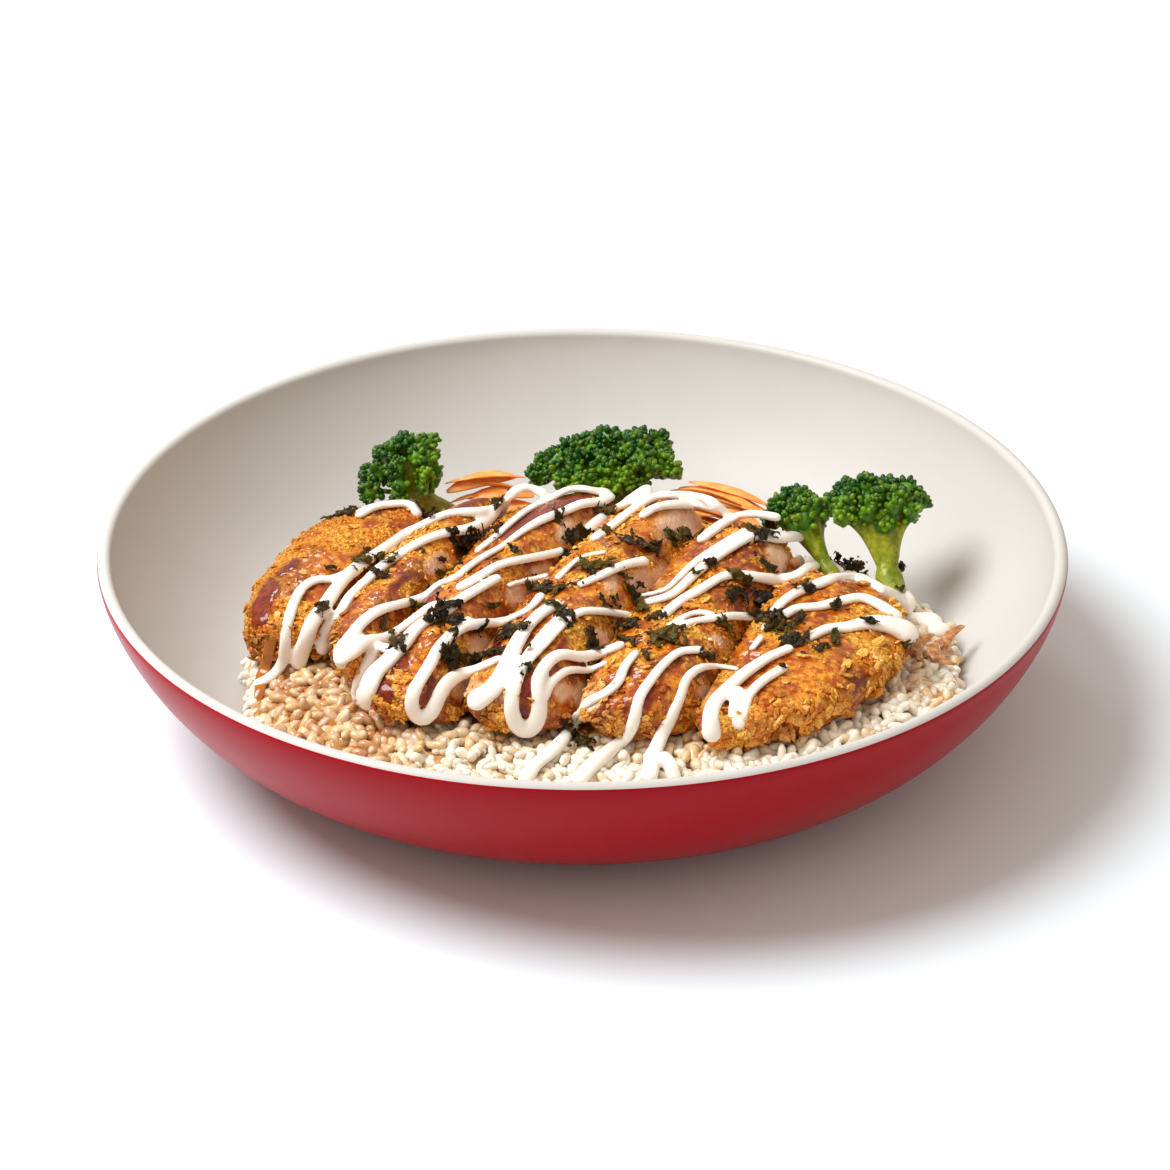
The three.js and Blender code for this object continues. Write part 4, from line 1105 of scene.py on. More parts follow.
def grain_body():
    """A cooked grain lying along X: plump with blunt ends, a little bent and thinner at one end."""
    angle = angles_round(GRAIN_AROUND)
    flank = powered(np.cos(angle), 0.9)
    rings = []
    for x in np.sin(np.linspace(-0.38, 0.38, GRAIN_RINGS) * np.pi):
        girth = (1 - abs(x) ** 3.4) ** 0.5 * (1 - 0.14 * x)
        z = girth * np.sin(angle) - GRAIN_BEND * (x * x - 0.3)
        rings.append(np.stack([np.full(GRAIN_AROUND, x), girth * flank, z], 1))
    points, faces = loft(np.array(rings))
    points[-2:, 0] = (-1, 1)
    return points, faces


def build_grains(cutlet):
    """Loose grains over the rice, left out where the cutlet hides them. Gives back their bodies."""
    random = np.random.default_rng(GRAIN_SEED)
    i = np.arange(GRAIN_PLACES)
    angle = (i * GOLDEN_ANGLE) % (2 * np.pi)
    share = np.sqrt((i + 0.5) / GRAIN_PLACES) * 0.99
    x, y, _ = rice_place(angle, rice_outline(angle) * share)
    x = x + random.normal(0, GRAIN_SCATTER, len(i))
    y = y + random.normal(0, GRAIN_SCATTER, len(i))
    hidden = np.ones(len(i), bool)
    for dx, dy in ((0, 0), (UNDER_CUTLET, 0), (-UNDER_CUTLET, 0), (0, UNDER_CUTLET), (0, -UNDER_CUTLET)):
        hidden &= np.array([cutlet.height(a + dx, b + dy) is not None for a, b in zip(x, y)])
    x, y, share = x[~hidden], y[~hidden], share[~hidden]
    count = len(x)
    length = GRAIN_LENGTH * random.uniform(0.8, 1.15, count)
    width = GRAIN_WIDTH * random.uniform(0.85, 1.15, count)
    sizes = np.stack([length, width, width * random.uniform(0.8, 1, count)], 1) / 2
    rotations = turned(random.uniform(0, 2 * np.pi, count), random.normal(0, GRAIN_TILT, count),
                       random.uniform(0, 2 * np.pi, count))
    lump = GRAIN_LUMP_HEIGHT * layered(np.stack([x, y, np.zeros(count)], 1), GRAIN_LUMP, 2, 8.1)
    inner = smooth(0.995, 0.9, share)
    z = rice_top(x, y) - GRAIN_SINK + inner * (lump + random.uniform(*GRAIN_HEIGHTS, count))
    z = np.maximum(z, bowl_floor(np.hypot(x, y)) + width / 2 + 0.3)
    places = np.stack([x, y, z], 1)
    tint = rice_colour(places, random.normal(0, 0.13, count)) * random.uniform(0.9, 1.05, count)[:, None]
    tint = np.clip(tint, 0, 0.95)
    body = grain_body()
    material = rice_grain()
    laid = []
    left = x < LEFT_GRAINS_END
    for name, chosen in (("rice_grains_left", left), ("rice_grains_right", ~left)):
        points, faces = scattered(body, sizes[chosen], rotations[chosen], places[chosen])
        add_piece(name, points, faces, material, "rice", tint=np.repeat(tint[chosen], len(body[0]), 0))
        laid.append((points, faces))
    return laid


# Cutlet slices
def cut_line(cut, y):
    return cut["at"] + cut["slope"] * y + cut["bend"] * y * y


def slice_top(k, u, y):
    sag = FRONT_SAG * np.maximum(0, FRONT_SAG_START - y)
    return mix(SLICES[k]["left"], SLICES[k]["right"], u) + CROWN * (1 - (2 * u - 1) ** 2) - sag


def slice_point(k, u, y, share):
    left, right = CUTS[k], CUTS[k + 1]
    flat = mix(cut_line(left, y) + CUT_GAP / 2, cut_line(right, y) - CUT_GAP / 2, u)
    lean = mix(left["lean"], right["lean"], u)
    bottom, top = rice_top(flat, y) + SLICE_RICE_GAP, slice_top(k, u, y)
    z = mix(bottom, top, share)
    return np.stack([flat - (z - CUT_LEVEL) * lean, y, z], -1), z - bottom, top - z


def even_angles(count, left_roundness, right_roundness, half_width, half_height):
    """Angles that space the points evenly round a section."""
    angle = np.linspace(0, 2 * np.pi, 8001)
    cos, sin = np.cos(angle), np.sin(angle)
    power = np.where(cos > 0, right_roundness, left_roundness)
    x = powered(cos, power) * half_width
    y = powered(sin, power) * half_height
    length = np.concatenate([[0], np.cumsum(np.hypot(np.diff(x), np.diff(y)))])
    return np.interp(np.arange(count) / count * length[-1], length, angle)


def even_stations(count, half_length, half_width):
    """Places along a slice and its share of full size there, evenly spaced over its blunt ends."""
    phi = np.linspace(0, np.pi / 2, 4001)
    along, size = np.sin(phi) ** (2 / END_BLUNTNESS), np.cos(phi) ** (2 / END_BLUNTNESS)
    steps = np.hypot(np.diff(along) * half_length, np.diff(size) * half_width)
    length = np.concatenate([[0], np.cumsum(steps)])
    at = (np.arange(count // 2) + 0.5) / (count // 2) * length[-1]
    a, s = np.interp(at, length, along), np.interp(at, length, size)
    return np.concatenate([-a[::-1], a]), np.concatenate([s[::-1], s])


def streak_share(x, y):
    """How much dark glaze shows at a pixel of the frame."""
    share = np.zeros_like(x)
    edge = STREAK_RAGGEDNESS * layered(np.stack([x, y, np.zeros_like(x)], 1), STREAK_RAG, 2, 4.4)
    for half, route in STREAKS:
        for (x0, y0), (x1, y1) in zip(route[:-1], route[1:]):
            dx, dy = x1 - x0, y1 - y0
            t = np.clip(((x - x0) * dx + (y - y0) * dy) / (dx * dx + dy * dy), 0, 1)
            distance = np.hypot(x - x0 - t * dx, y - y0 - t * dy) + edge
            share = np.maximum(share, smooth(half + 2.5, half - 2, distance))
    return share


def capped(values):
    """Values round a slice, followed by their means at its two ends."""
    first, last = values[:SLICE_AROUND], values[-SLICE_AROUND:]
    return np.concatenate([values, first.mean(keepdims=True), last.mean(keepdims=True)])


def slice_body(k):
    """Slice k without relief, how far each point is on a cut face, and how deep inside the slice's edges."""
    sizes = SLICES[k]
    middle = 0.5 * (sizes["front"] + sizes["back"])
    half_length = 0.5 * (sizes["back"] - sizes["front"])
    half_width = 0.5 * (cut_line(CUTS[k + 1], middle) - cut_line(CUTS[k], middle))
    left_round = CRUST_ROUNDNESS if k == 0 else CUT_ROUNDNESS
    right_round = CRUST_ROUNDNESS if k == len(SLICES) - 1 else CUT_ROUNDNESS
    theta = even_angles(SLICE_AROUND, left_round, right_round, half_width, SLICE_HALF_HEIGHT)
    along, size = even_stations(SLICE_STATIONS, half_length, half_width)
    cos, sin = np.cos(theta), np.sin(theta)
    power = np.where(cos > 0, right_round, left_round)
    across, upward = powered(cos, power), powered(sin, power)
    u = ((across[None] * size[:, None]).ravel() + 1) / 2
    q = (SECTION_MIDDLE + (upward[None] - SECTION_MIDDLE) * size[:, None]).ravel()
    s = np.repeat(along, SLICE_AROUND)
    front = sizes["front"] + sizes["front_skew"] * (u - 0.5)
    back = sizes["back"] + sizes["back_skew"] * (u - 0.5)
    y = mix(front, back, (s + 1) / 2)
    points, above, below = slice_point(k, u, y, (q + 1) / 2)
    points, faces = loft(points.reshape(SLICE_STATIONS, SLICE_AROUND, 3))
    side = np.tile(cos, SLICE_STATIONS)
    cut_side = ((side < 0) & (k > 0)) | ((side > 0) & (k < len(SLICES) - 1))
    face = smooth(0.46, 0.6, side ** 2) * cut_side * smooth(0.5, 0.9, np.repeat(size, SLICE_AROUND))
    from_end = (1 - np.abs(s)) * half_length
    depth = np.minimum(np.minimum(below, above), from_end * 1.3)
    return points, faces, capped(face), capped(depth)


def crust_colour(k, points, normals, toast, tip):
    """Golden, browner where toasted and at the front, with painted shade the more a side faces down, and
    lighter on the tips of the crumbs.
    """
    # Browner the more a side faces down: painted shade.
    low = smooth(0.35, -0.45, normals[:, 2])
    front_end = smooth(12, 2, points[:, 1] - SLICES[k]["front"])
    shade = TOASTING[k] + 0.7 * toast + 0.4 * low + 0.15 * front_end - 0.6 * tip
    colour = blend(tone("gold"), tone("amber"), smooth(0.05, 0.4, shade))
    colour = blend(colour, tone("brown"), smooth(0.4, 0.75, shade))
    return blend(colour, tone("burnt"), smooth(0.8, 1.1, shade) * 0.8)


def syrup_colour(k, points, tip):
    """Amber glaze, darker where it is thick and bright on the tips of the crumbs."""
    thick = layered(points, 6, 3, 44 + k)
    colour = blend(tone("syrup"), tone("dark_syrup"), smooth(-0.35, 0.1, thick))
    colour = blend(colour, tone("burnt_syrup"), smooth(0.05, 0.4, thick) * 0.85)
    return blend(colour, tone("bright_syrup"), smooth(0.5, 0.9, tip) * 0.8)


def flesh_colour(k, points):
    """Cut pork with its fibres, stained by glaze in places."""
    fibre = layered(points * [1.0, 0.4, 1.6], MEAT_FIBRE, 3, 60)
    colour = blend(tone("meat"), tone("dark_meat"), smooth(-0.4, 0.6, fibre))
    return blend(colour, tone("stained_meat"), smooth(0.0, 0.6, layered(points, 6, 2, 70 + k)) * 0.45)


def slice_shape(k):
    """Points, triangles, and what covers each point of slice k."""
    points, faces, face, depth = slice_body(k)
    normals = vertex_normals(points, faces)
    px, py = picture(points)
    wander = layered(points, 5, 2, k)
    bare = np.zeros(len(points))
    for x, y, radius in MEAT_SPOTS:
        away = np.hypot(px - x, py - y) + MEAT_RAGGEDNESS * wander
        bare = np.maximum(bare, smooth(radius + 4, radius - 4, away))
    open_side = np.maximum(face, 0.9 * smooth(0.2, 0.6, normals[:, 2]))
    meat = open_side * bare * smooth(0.0, 1.2, depth + 0.6 * wander)
    dark = streak_share(px, py) * smooth(-0.5, -0.1, normals[:, 2])
    pools = 1.4 * layered(points, GLAZE_POOL, 3, 20 + k)
    glaze = smooth(-0.1, 0.2, pools + GLAZE_ON_TOP[k] * smooth(0.1, 0.6, normals[:, 2])) * (1 - meat)
    crumb = CRAG_HEIGHT * (0.55 - cells(points, CRAG, k))
    crumb = crumb + FINE_CRAG_HEIGHT * (0.5 - cells(points, FINE_CRAG, 3.1 * k))
    relief = SWELL_HEIGHT * layered(points, SWELL, 2, 5 + k) + (1 - 0.5 * glaze) * crumb
    relief = relief * (1 - meat) + meat * MEAT_RELIEF_HEIGHT * layered(points, MEAT_RELIEF, 2, 9)
    relief = relief * (1 - 0.8 * dark) + STREAK_HEIGHT * dark
    points = points + normals * (np.minimum(relief, HIGHEST_CRAG) * (1 - 0.5 * face))[:, None]
    toast = layered(points, 7, 3, 31 + k)
    tip = smooth(-0.25, 0.55, crumb)
    colour = crust_colour(k, points, normals, toast, tip)
    colour = blend(colour, syrup_colour(k, points, tip), glaze * 0.9)
    if k == 0:
        flank = smooth(0.1, -0.35, normals[:, 0]) * smooth(-22, -6, points[:, 1])
        bark = blend(tone("pale_flank"), tone("toasted_flank"), smooth(-0.2, 0.5, toast))
        colour = blend(colour, bark, flank * 0.8)
        glaze = glaze * (1 - flank)
    colour = blend(colour, flesh_colour(k, points), meat)
    colour = blend(colour, tone("streak"), dark * 0.95)
    wet = np.clip(np.maximum.reduce([glaze * 0.9, dark, meat]), 0, 1)
    return dict(points=points, faces=faces, normals=normals, tint=colour, wet=wet, bare=meat,
                crust=(1 - meat) * (1 - dark), glaze=glaze)


def build_slices(shapes):
    skin = fried_crust()
    for number, shape in enumerate(shapes, 1):
        add_piece(f"cutlet_slice_{number}_crust", shape["points"], shape["faces"], skin, "cutlet",
                  f"cutlet_slice_{number}", tint=shape["tint"], wet=shape["wet"], bare=shape["bare"])


def crumb_body():
    """A jagged little flake of bread crumb."""
    points, faces = ball(0)
    bend = 1 + 0.5 * layered(points * 3.0, 1.5, 2, 2.7)
    return points * bend[:, None], faces


def crumb_kinds(k, shape):
    """Where crumbs stand on slice k, for the larger ones and the small ones."""
    normal = shape["normals"]
    last = k == len(SLICES) - 1
    visible = smooth(-0.6, 0.0, normal[:, 2]) * shape["crust"]
    front = smooth(16, 4, shape["points"][:, 1] - SLICES[k]["front"])
    rough = (1 - 0.75 * shape["glaze"]) * (0.3 + front)
    if last:
        rough = rough * (1 + 4 * smooth(-0.1, 0.4, normal[:, 0] - 0.3 * normal[:, 1]))
    return [(visible * rough, END_CRUMBS if last else LARGE_CRUMBS),
            (visible * (1 - 0.8 * shape["glaze"]), SMALL_CRUMBS)]


def build_crumbs(shapes):
    """Crisp crumbs standing on the crust: small ones all over, larger ones on the right end and fronts."""
    random = np.random.default_rng(CRUMB_SEED)
    places, normals, tints, sizes = [], [], [], []
    for k, shape in enumerate(shapes):
        for weight, kind in crumb_kinds(k, shape):
            count, smallest = kind["count"], kind["smallest"]
            chosen = random.choice(len(weight), count, p=weight / weight.sum())
            places.append(shape["points"][chosen])
            normals.append(shape["normals"][chosen])
            tints.append(shape["tint"][chosen])
            sizes.append(smallest + (kind["largest"] - smallest) * random.beta(1.3, 2.5, count))
    places, normals, tints, size = (np.concatenate(v) for v in (places, normals, tints, sizes))
    count = len(places)
    sizes = size[:, None] * random.uniform(FLATTEST_CRUMB, STOUTEST_CRUMB, (count, 3))
    tilt = unit(normals + random.normal(0, 0.5, (count, 3)))
    rotations = facing(tilt, random.uniform(0, 2 * np.pi, count))
    body = crumb_body()
    points, faces = scattered(body, sizes, rotations, places + normals * (0.2 * size)[:, None])
    lift = random.uniform(0.7, 1.3, count)[:, None]
    tint = blend(tints * lift, tone("pale_crumb"), random.uniform(0, 0.75, count))
    tint = np.repeat(np.clip(tint, 0, 0.9), len(body[0]), 0)
    mesh = add_piece("cutlet_crumbs", points, faces, panko_crumb(), "cutlet", tint=tint)
    mesh.polygons.foreach_set("use_smooth", np.zeros(len(mesh.polygons), dtype=bool))


# Mayonnaise strands laid over the food
def evened(values, reach):
    """Each row's mean with its neighbours."""
    padded = np.pad(values, [(reach, reach)] + [(0, 0)] * (values.ndim - 1), mode="edge")
    return np.mean([padded[i:i + len(values)] for i in range(2 * reach + 1)], axis=0)


def laid_route(ground, route):
    """Points along a strand where the camera sees it, on what is below, and the way that surface faces."""
    pixels = spline(route, ROUTE_STEP)
    seen = [ground.seen(px, py) for px, py in pixels]
    away = np.array([s[0] for s in seen])
    away = np.interp(np.arange(len(away)), np.flatnonzero(~np.isnan(away)), away[~np.isnan(away)])
    padded = np.pad(away, 2, mode="edge")
    nearest = np.min([padded[i:i + len(away)] for i in range(5)], axis=0)
    away = evened(mix(away, nearest, 0.65), 2)
    facing_up = unit(evened(np.array([s[1] for s in seen]), 3) + [0, 0, 0.5])
    return EYE + np.array([sight(px, py) for px, py in pixels]) * away[:, None], facing_up


def mayo_shape(ground):
    """All strands and drops as one skin, each strand lifted where it crosses an earlier one."""
    bodies, laid = [], []
    for widths, route in STRANDS:
        path, up = laid_route(ground, route)
        t = np.linspace(0, 1, len(path))
        width = np.interp(t, np.linspace(0, 1, len(widths)), widths)
        for other, other_width in laid:
            gap = np.linalg.norm(path[:, None, :] - other[None], axis=2).min(1)
            over = smooth(1.0, 0.3, gap / (0.5 * (width + other_width)))
            path = path + up * (over * CROSSING_LIFT * other_width)[:, None]
        path = evened(path, 1)
        sway = noise3(path[:, 0] / 9, path[:, 1] / 9, 3 + width)
        blob = np.exp(-t * 12) + np.exp(-(1 - t) * 12)
        half = 0.5 * MAYO_SPREAD * width * (1 + MAYO_SWAY * sway) * (1 + MAYO_BLOB * blob)
        tall = half * MAYO_HEIGHT
        across = np.cross(up, np.gradient(path, axis=0))
        bodies.append(tube(path + up * (tall * 0.5)[:, None], half, tall, MAYO_AROUND, across))
        laid.append((path, widths[-1]))
    points, faces = ball(3)
    for (px, py), radius in DROPS:
        drop = points * (radius * DROP_SHAPE)
        bodies.append((drop + ground.spot(px, py) + [0, 0, DROP_LIFT], faces))
    return remeshed(*joined(bodies), MAYO_VOXEL, MAYO_SMOOTHING)


def build_run(ground):
    """Glaze that has run down the left end onto the rice."""
    path, up = laid_route(ground, RUN_ROUTE)
    taper = np.linspace(*RUN_TAPER, len(path))
    sway = noise3(path[:, 0] / 4, path[:, 1] / 4, np.full(len(path), 2.2))
    half = 0.5 * RUN_WIDTH * taper * (1 + RUN_SWAY * sway)
    across = np.cross(up, np.gradient(path, axis=0))
    body = tube(path + up * RUN_LIFT, half, half * RUN_FLATNESS, RUN_AROUND, across)
    add_piece("glaze_drips", *body, dark_glaze(), "glaze")


# Seaweed flakes: ragged, crinkled and thin
def flake_directions(ground, px, py, turn, random):
    """The way a flake faces, the way it is long, and the way it is wide."""
    normal = ground.seen(px, py)[1]
    near = [ground.seen(px + dx, py + dy)[1] for dx, dy in ((-5, 0), (5, 0), (0, -5), (0, 5))]
    normal = np.mean([normal, *near], axis=0) + random.normal(0, 0.2, 3) + [0, -0.1, 0.3]
    normal /= np.linalg.norm(normal)
    view = sight(px, py)
    tilt = CAMERA_ELEVATION
    across = np.array([math.cos(turn), math.sin(turn) * math.sin(tilt), math.sin(turn) * math.cos(tilt)])
    along = across - view * (across @ normal) / min(view @ normal, -0.25)
    along /= np.linalg.norm(along)
    return normal, along, np.cross(normal, along)


def rested(ground, base, normal):
    """How far what is below rises above each point of a flat flake."""
    rise = np.zeros(len(base))
    for i, point in enumerate(base):
        hit = ground.tree.ray_cast(Vector(point + normal * FLAKE_REACH), Vector(-normal), FLAKE_SEARCH)
        rise[i] = FLAKE_REACH - hit[3] if hit[0] is not None else math.nan
    usual = np.nanmedian(rise) if not np.isnan(rise).all() else 0.0
    rise = np.where(np.isnan(rise), usual, rise)
    return np.maximum(mix(usual, rise, 0.6), rise)


def thickened(top, kept, normal):
    """A closed thin body under those squares of a grid of points that are kept, or None without any."""
    corner = np.arange(kept.size).reshape(kept.shape)
    cell = kept[:-1, :-1] & kept[1:, :-1] & kept[:-1, 1:] & kept[1:, 1:]
    a, b, c, d = (q[cell] for q in (corner[:-1, :-1], corner[1:, :-1], corner[1:, 1:], corner[:-1, 1:]))
    upper = np.concatenate([np.stack([a, b, c], 1), np.stack([a, c, d], 1)])
    if not len(upper):
        return None
    lower = upper[:, ::-1] + len(top)
    edges = np.concatenate([upper[:, [0, 1]], upper[:, [1, 2]], upper[:, [2, 0]]])
    known = {(m, n) for m, n in edges.tolist()}
    rim = np.array([(m, n) for m, n in edges.tolist() if (n, m) not in known])
    m, n = rim[:, 0], rim[:, 1]
    walls = np.concatenate([np.stack([n, m, m + len(top)], 1), np.stack([n, m + len(top), n + len(top)], 1)])
    points = np.concatenate([top, top - normal * FLAKE_THICKNESS])
    faces = np.concatenate([upper, lower, walls])
    used, compact = np.unique(faces, return_inverse=True)
    return points[used], compact.reshape(faces.shape)


def flake_body(ground, px, py, length, turn, random):
    """A torn, crumpled sheet that lies along a direction of the picture on what is below."""
    normal, along, side = flake_directions(ground, px, py, turn, random)
    half = FLAKE_HALF * length / PIXELS_PER_MM
    slim = half * random.uniform(*FLAKE_SLIMNESS)
    count_u, count_v = int(FLAKE_SHEET * half / FLAKE_CELL), int(FLAKE_SHEET * slim / FLAKE_CELL) + 2
    u, v = np.meshgrid((np.arange(count_u + 1) / count_u - 0.5) * FLAKE_SHEET * half,
                       (np.arange(count_v + 1) / count_v - 0.5) * FLAKE_SHEET * slim, indexing="ij")
    flat = np.stack([u.ravel(), v.ravel(), np.full(u.size, random.uniform(0, 50))], 1)
    torn = 1.1 * layered(flat, FLAKE_TEAR, 2) + 0.7 * layered(flat, FLAKE_FINE_TEAR, 1, 9)
    kept = (u / half) ** 2 + (v / slim) ** 2 + FLAKE_RAGGEDNESS * torn.reshape(u.shape) < 1.0
    kept[count_u // 2, count_v // 2] = True
    crumple = np.abs(layered(flat, FLAKE_FOLD, 2, 4)) * FLAKE_FOLD_HEIGHT
    crumple = crumple + np.abs(layered(flat, FLAKE_CRINKLE, 1, 7)) * FLAKE_CRINKLE_HEIGHT
    flat[:, :2] += 0.5 * FLAKE_CELL * np.stack([layered(flat, 0.8, 1, 3), layered(flat, 0.8, 1, 5)], 1)
    base = ground.spot(px, py) + np.outer(flat[:, 0], along) + np.outer(flat[:, 1], side)
    raised = rested(ground, base, normal) + FLAKE_LIFT + crumple
    return thickened(base + np.outer(raised, normal), kept, normal)


def build_seaweed(ground):
    """Flakes where the photo has them, the long ones with a smaller bit or two beside them, and the berry."""
    random = np.random.default_rng(FLAKE_SEED)
    bodies, tints = [], []
    for px, py, length, turn in FLAKES:
        for bit in range(1 + (length > ONE_BIT_FROM) + (length > TWO_BITS_FROM)):
            size = length * (1 if bit == 0 else random.uniform(*BIT_SIZES))
            away = 0 if bit == 0 else length * random.uniform(*BIT_DISTANCES)
            angle = random.uniform(0, 2 * np.pi)
            angled = math.radians(turn + (0 if bit == 0 else random.uniform(-BIT_TURN, BIT_TURN)))
            x, y = px + away * math.cos(angle), py + 0.6 * away * math.sin(angle)
            body = flake_body(ground, x, y, size, angled, random)
            if body is not None:
                bodies.append(body)
                colour = SEAWEED_COLOURS[random.choice(len(SEAWEED_COLOURS), p=SEAWEED_SHARES)]
                tints.append(np.repeat([linear(colour)], len(body[0]), 0))
    (px, py), radius = BERRY
    points, faces = ball(4)
    crumple = (1 + 0.3 * layered(points * 3, 1.3, 3, 2))[:, None]
    bodies.append((points * crumple * (radius * BERRY_SHAPE) + ground.spot(px, py), faces))
    tints.append(np.repeat([tone("berry")], len(points), 0))
    points, faces = joined(bodies)
    points[:, 2] = np.minimum(points[:, 2], FLAKE_TOP)
    add_piece("seaweed_flakes", points, faces, seaweed(), "seaweed", tint=np.concatenate(tints))


# Broccoli
def cluster_places(floret, random):
    """Bud clusters over the dome of a floret: their middles and radii."""
    crown, half = np.array(floret["crown"], float), np.array(floret["half"], float)
    i = np.arange(floret["clusters"])
    rise = 1 - floret["wrap"] * (i + 0.5) / floret["clusters"]
    ring = np.sqrt(1 - rise * rise)
    turn = i * GOLDEN_ANGLE + random.normal(0, 0.12, len(i))
    ways = np.stack([ring * np.cos(turn), ring * np.sin(turn), rise], 1)
    places = ways * (half + floret["lobe"] * 0.5) * random.uniform(0.84, 1.0, len(i))[:, None]
    places[:, 0] += floret["lean"] * places[:, 2]
    radii = floret["lobe"] * random.uniform(*CLUSTER_SIZES, len(i))
    return places + crown, radii


def floret_axis(floret):
    """The crown's middle, the foot of the stem, and the direction from the foot to the crown."""
    crown, foot = np.array(floret["crown"], float), np.array(floret["foot"], float)
    return crown, foot, (crown - foot) / np.linalg.norm(crown - foot)


def floret_skin(floret, random):
    """Clusters of balls on branches from one stem as one skin, and how far each point is from them."""
    crown, foot, axis = floret_axis(floret)
    places, radii = cluster_places(floret, random)
    fork = mix(foot, crown, FORK_SHARE)
    low_fork = mix(foot, fork, LOW_FORK_SHARE)
    round_ball, small_ball = ball(2), ball(1)
    bodies = []
    for place, radius in zip(places, radii):
        bodies.append((round_ball[0] * radius * CLUSTER_BALL + place, round_ball[1]))
        for _ in range(KNOBS):
            way = random.normal(0, 1, 3)
            way /= np.linalg.norm(way)
            knob = small_ball[0] * radius * random.uniform(*KNOB_SIZES)
            bodies.append((knob + place + way * radius * KNOB_REACH, small_ball[1]))
        middle = mix(fork, place, 0.55) + 0.12 * (crown - place) + axis * 1.0
        branch = spline([low_fork, mix(fork, middle, 0.4), middle, place], 0.9)
        thick = np.linspace(floret["stem"] * BRANCH_THICKNESS, radius * 0.5, len(branch))
        bodies.append(tube(branch, thick, thick, BRANCH_AROUND, [1.0, 0.1, 0]))
    trunk = spline([foot, low_fork, fork], 1.0)
    girth = floret["stem"] * np.linspace(1.0, 0.92, len(trunk))
    bodies.append(tube(trunk, girth, girth, TRUNK_AROUND, [1.0, 0, 0]))
    points, faces = remeshed(*joined(bodies), FLORET_VOXEL, FLORET_SMOOTHING)
    distance = np.full(len(points), 99.0)
    for place, radius in zip(places, radii):
        distance = np.minimum(distance, np.linalg.norm(points - place, axis=1) / radius)
    return points, faces, distance


def point_areas(points, faces):
    """The area of skin that goes with each point."""
    corner = points[faces]
    doubled = np.cross(corner[:, 1] - corner[:, 0], corner[:, 2] - corner[:, 0])
    share = np.linalg.norm(doubled, axis=1) * 0.5 / 3
    area = np.zeros(len(points))
    for i in range(3):
        np.add.at(area, faces[:, i], share)
    return area


def floret_buds(points, normals, weight, crown, axis, random):
    """Buds at true size where weight is, a number for each point, and their tints."""
    count = int(weight.sum() / BUD_SPACING)
    chosen = random.choice(len(points), count, p=weight / weight.sum())
    bud = ball(1)
    size = BUD_RADIUS * random.uniform(*BUD_SIZES, count)
    sizes = size[:, None] * random.uniform(0.85, 1.15, (count, 3)) * [1, 1, BUD_LENGTH]
    rotations = facing(normals[chosen], random.uniform(0, 2 * np.pi, count))
    spots = points[chosen] + normals[chosen] * random.uniform(0.1, 0.6, count)[:, None]
    pick = random.uniform(0, 1, count)
    high = smooth(-6, 6, (spots - crown) @ axis)
    green = blend(tone("low_bud"), tone("high_bud"), smooth(0.1, 0.9, 0.5 * pick + 0.6 * high))
    green = blend(green, tone("pale_bud"), (pick > PALE_BUDS_FROM) * 0.5)
    return scattered(bud, sizes, rotations, spots), np.repeat(green, len(bud[0]), 0)


def build_floret(floret):
    random = np.random.default_rng(floret["seed"])
    crown, foot, axis = floret_axis(floret)
    points, faces, distance = floret_skin(floret, random)
    normals = vertex_normals(points, faces)
    head = smooth(1.45, 1.15, distance)
    outer = np.einsum("ij,ij->i", normals, unit(points - crown))
    budding = smooth(0.3, 0.9, head) * smooth(-0.2, 0.3, outer) * smooth(-0.7, -0.2, normals @ axis)
    vein = layered(points * [1, 1, 0.35], 2.6, 2, 3)
    stem_colour = blend(tone("stem"), tone("light_stem"), smooth(-0.4, 0.7, vein))
    stem_colour = blend(stem_colour, tone("cut_stem"), smooth(8, 0, (points - foot) @ axis) * 0.6)
    head_colour = blend(tone("inner_head"), tone("outer_head"), smooth(0.6, 1.1, distance))
    weight = budding * point_areas(points, faces)
    buds, bud_tint = floret_buds(points, normals, weight, crown, axis, random)
    tint = np.concatenate([blend(stem_colour, head_colour, head), bud_tint])
    points, faces = joined([(points, faces), buds])
    points[:, 2] = np.minimum(points[:, 2], FLORET_TOP)
    add_piece(floret["name"] + "_floret", points, faces, broccoli(), "broccoli", floret["name"], tint=tint)


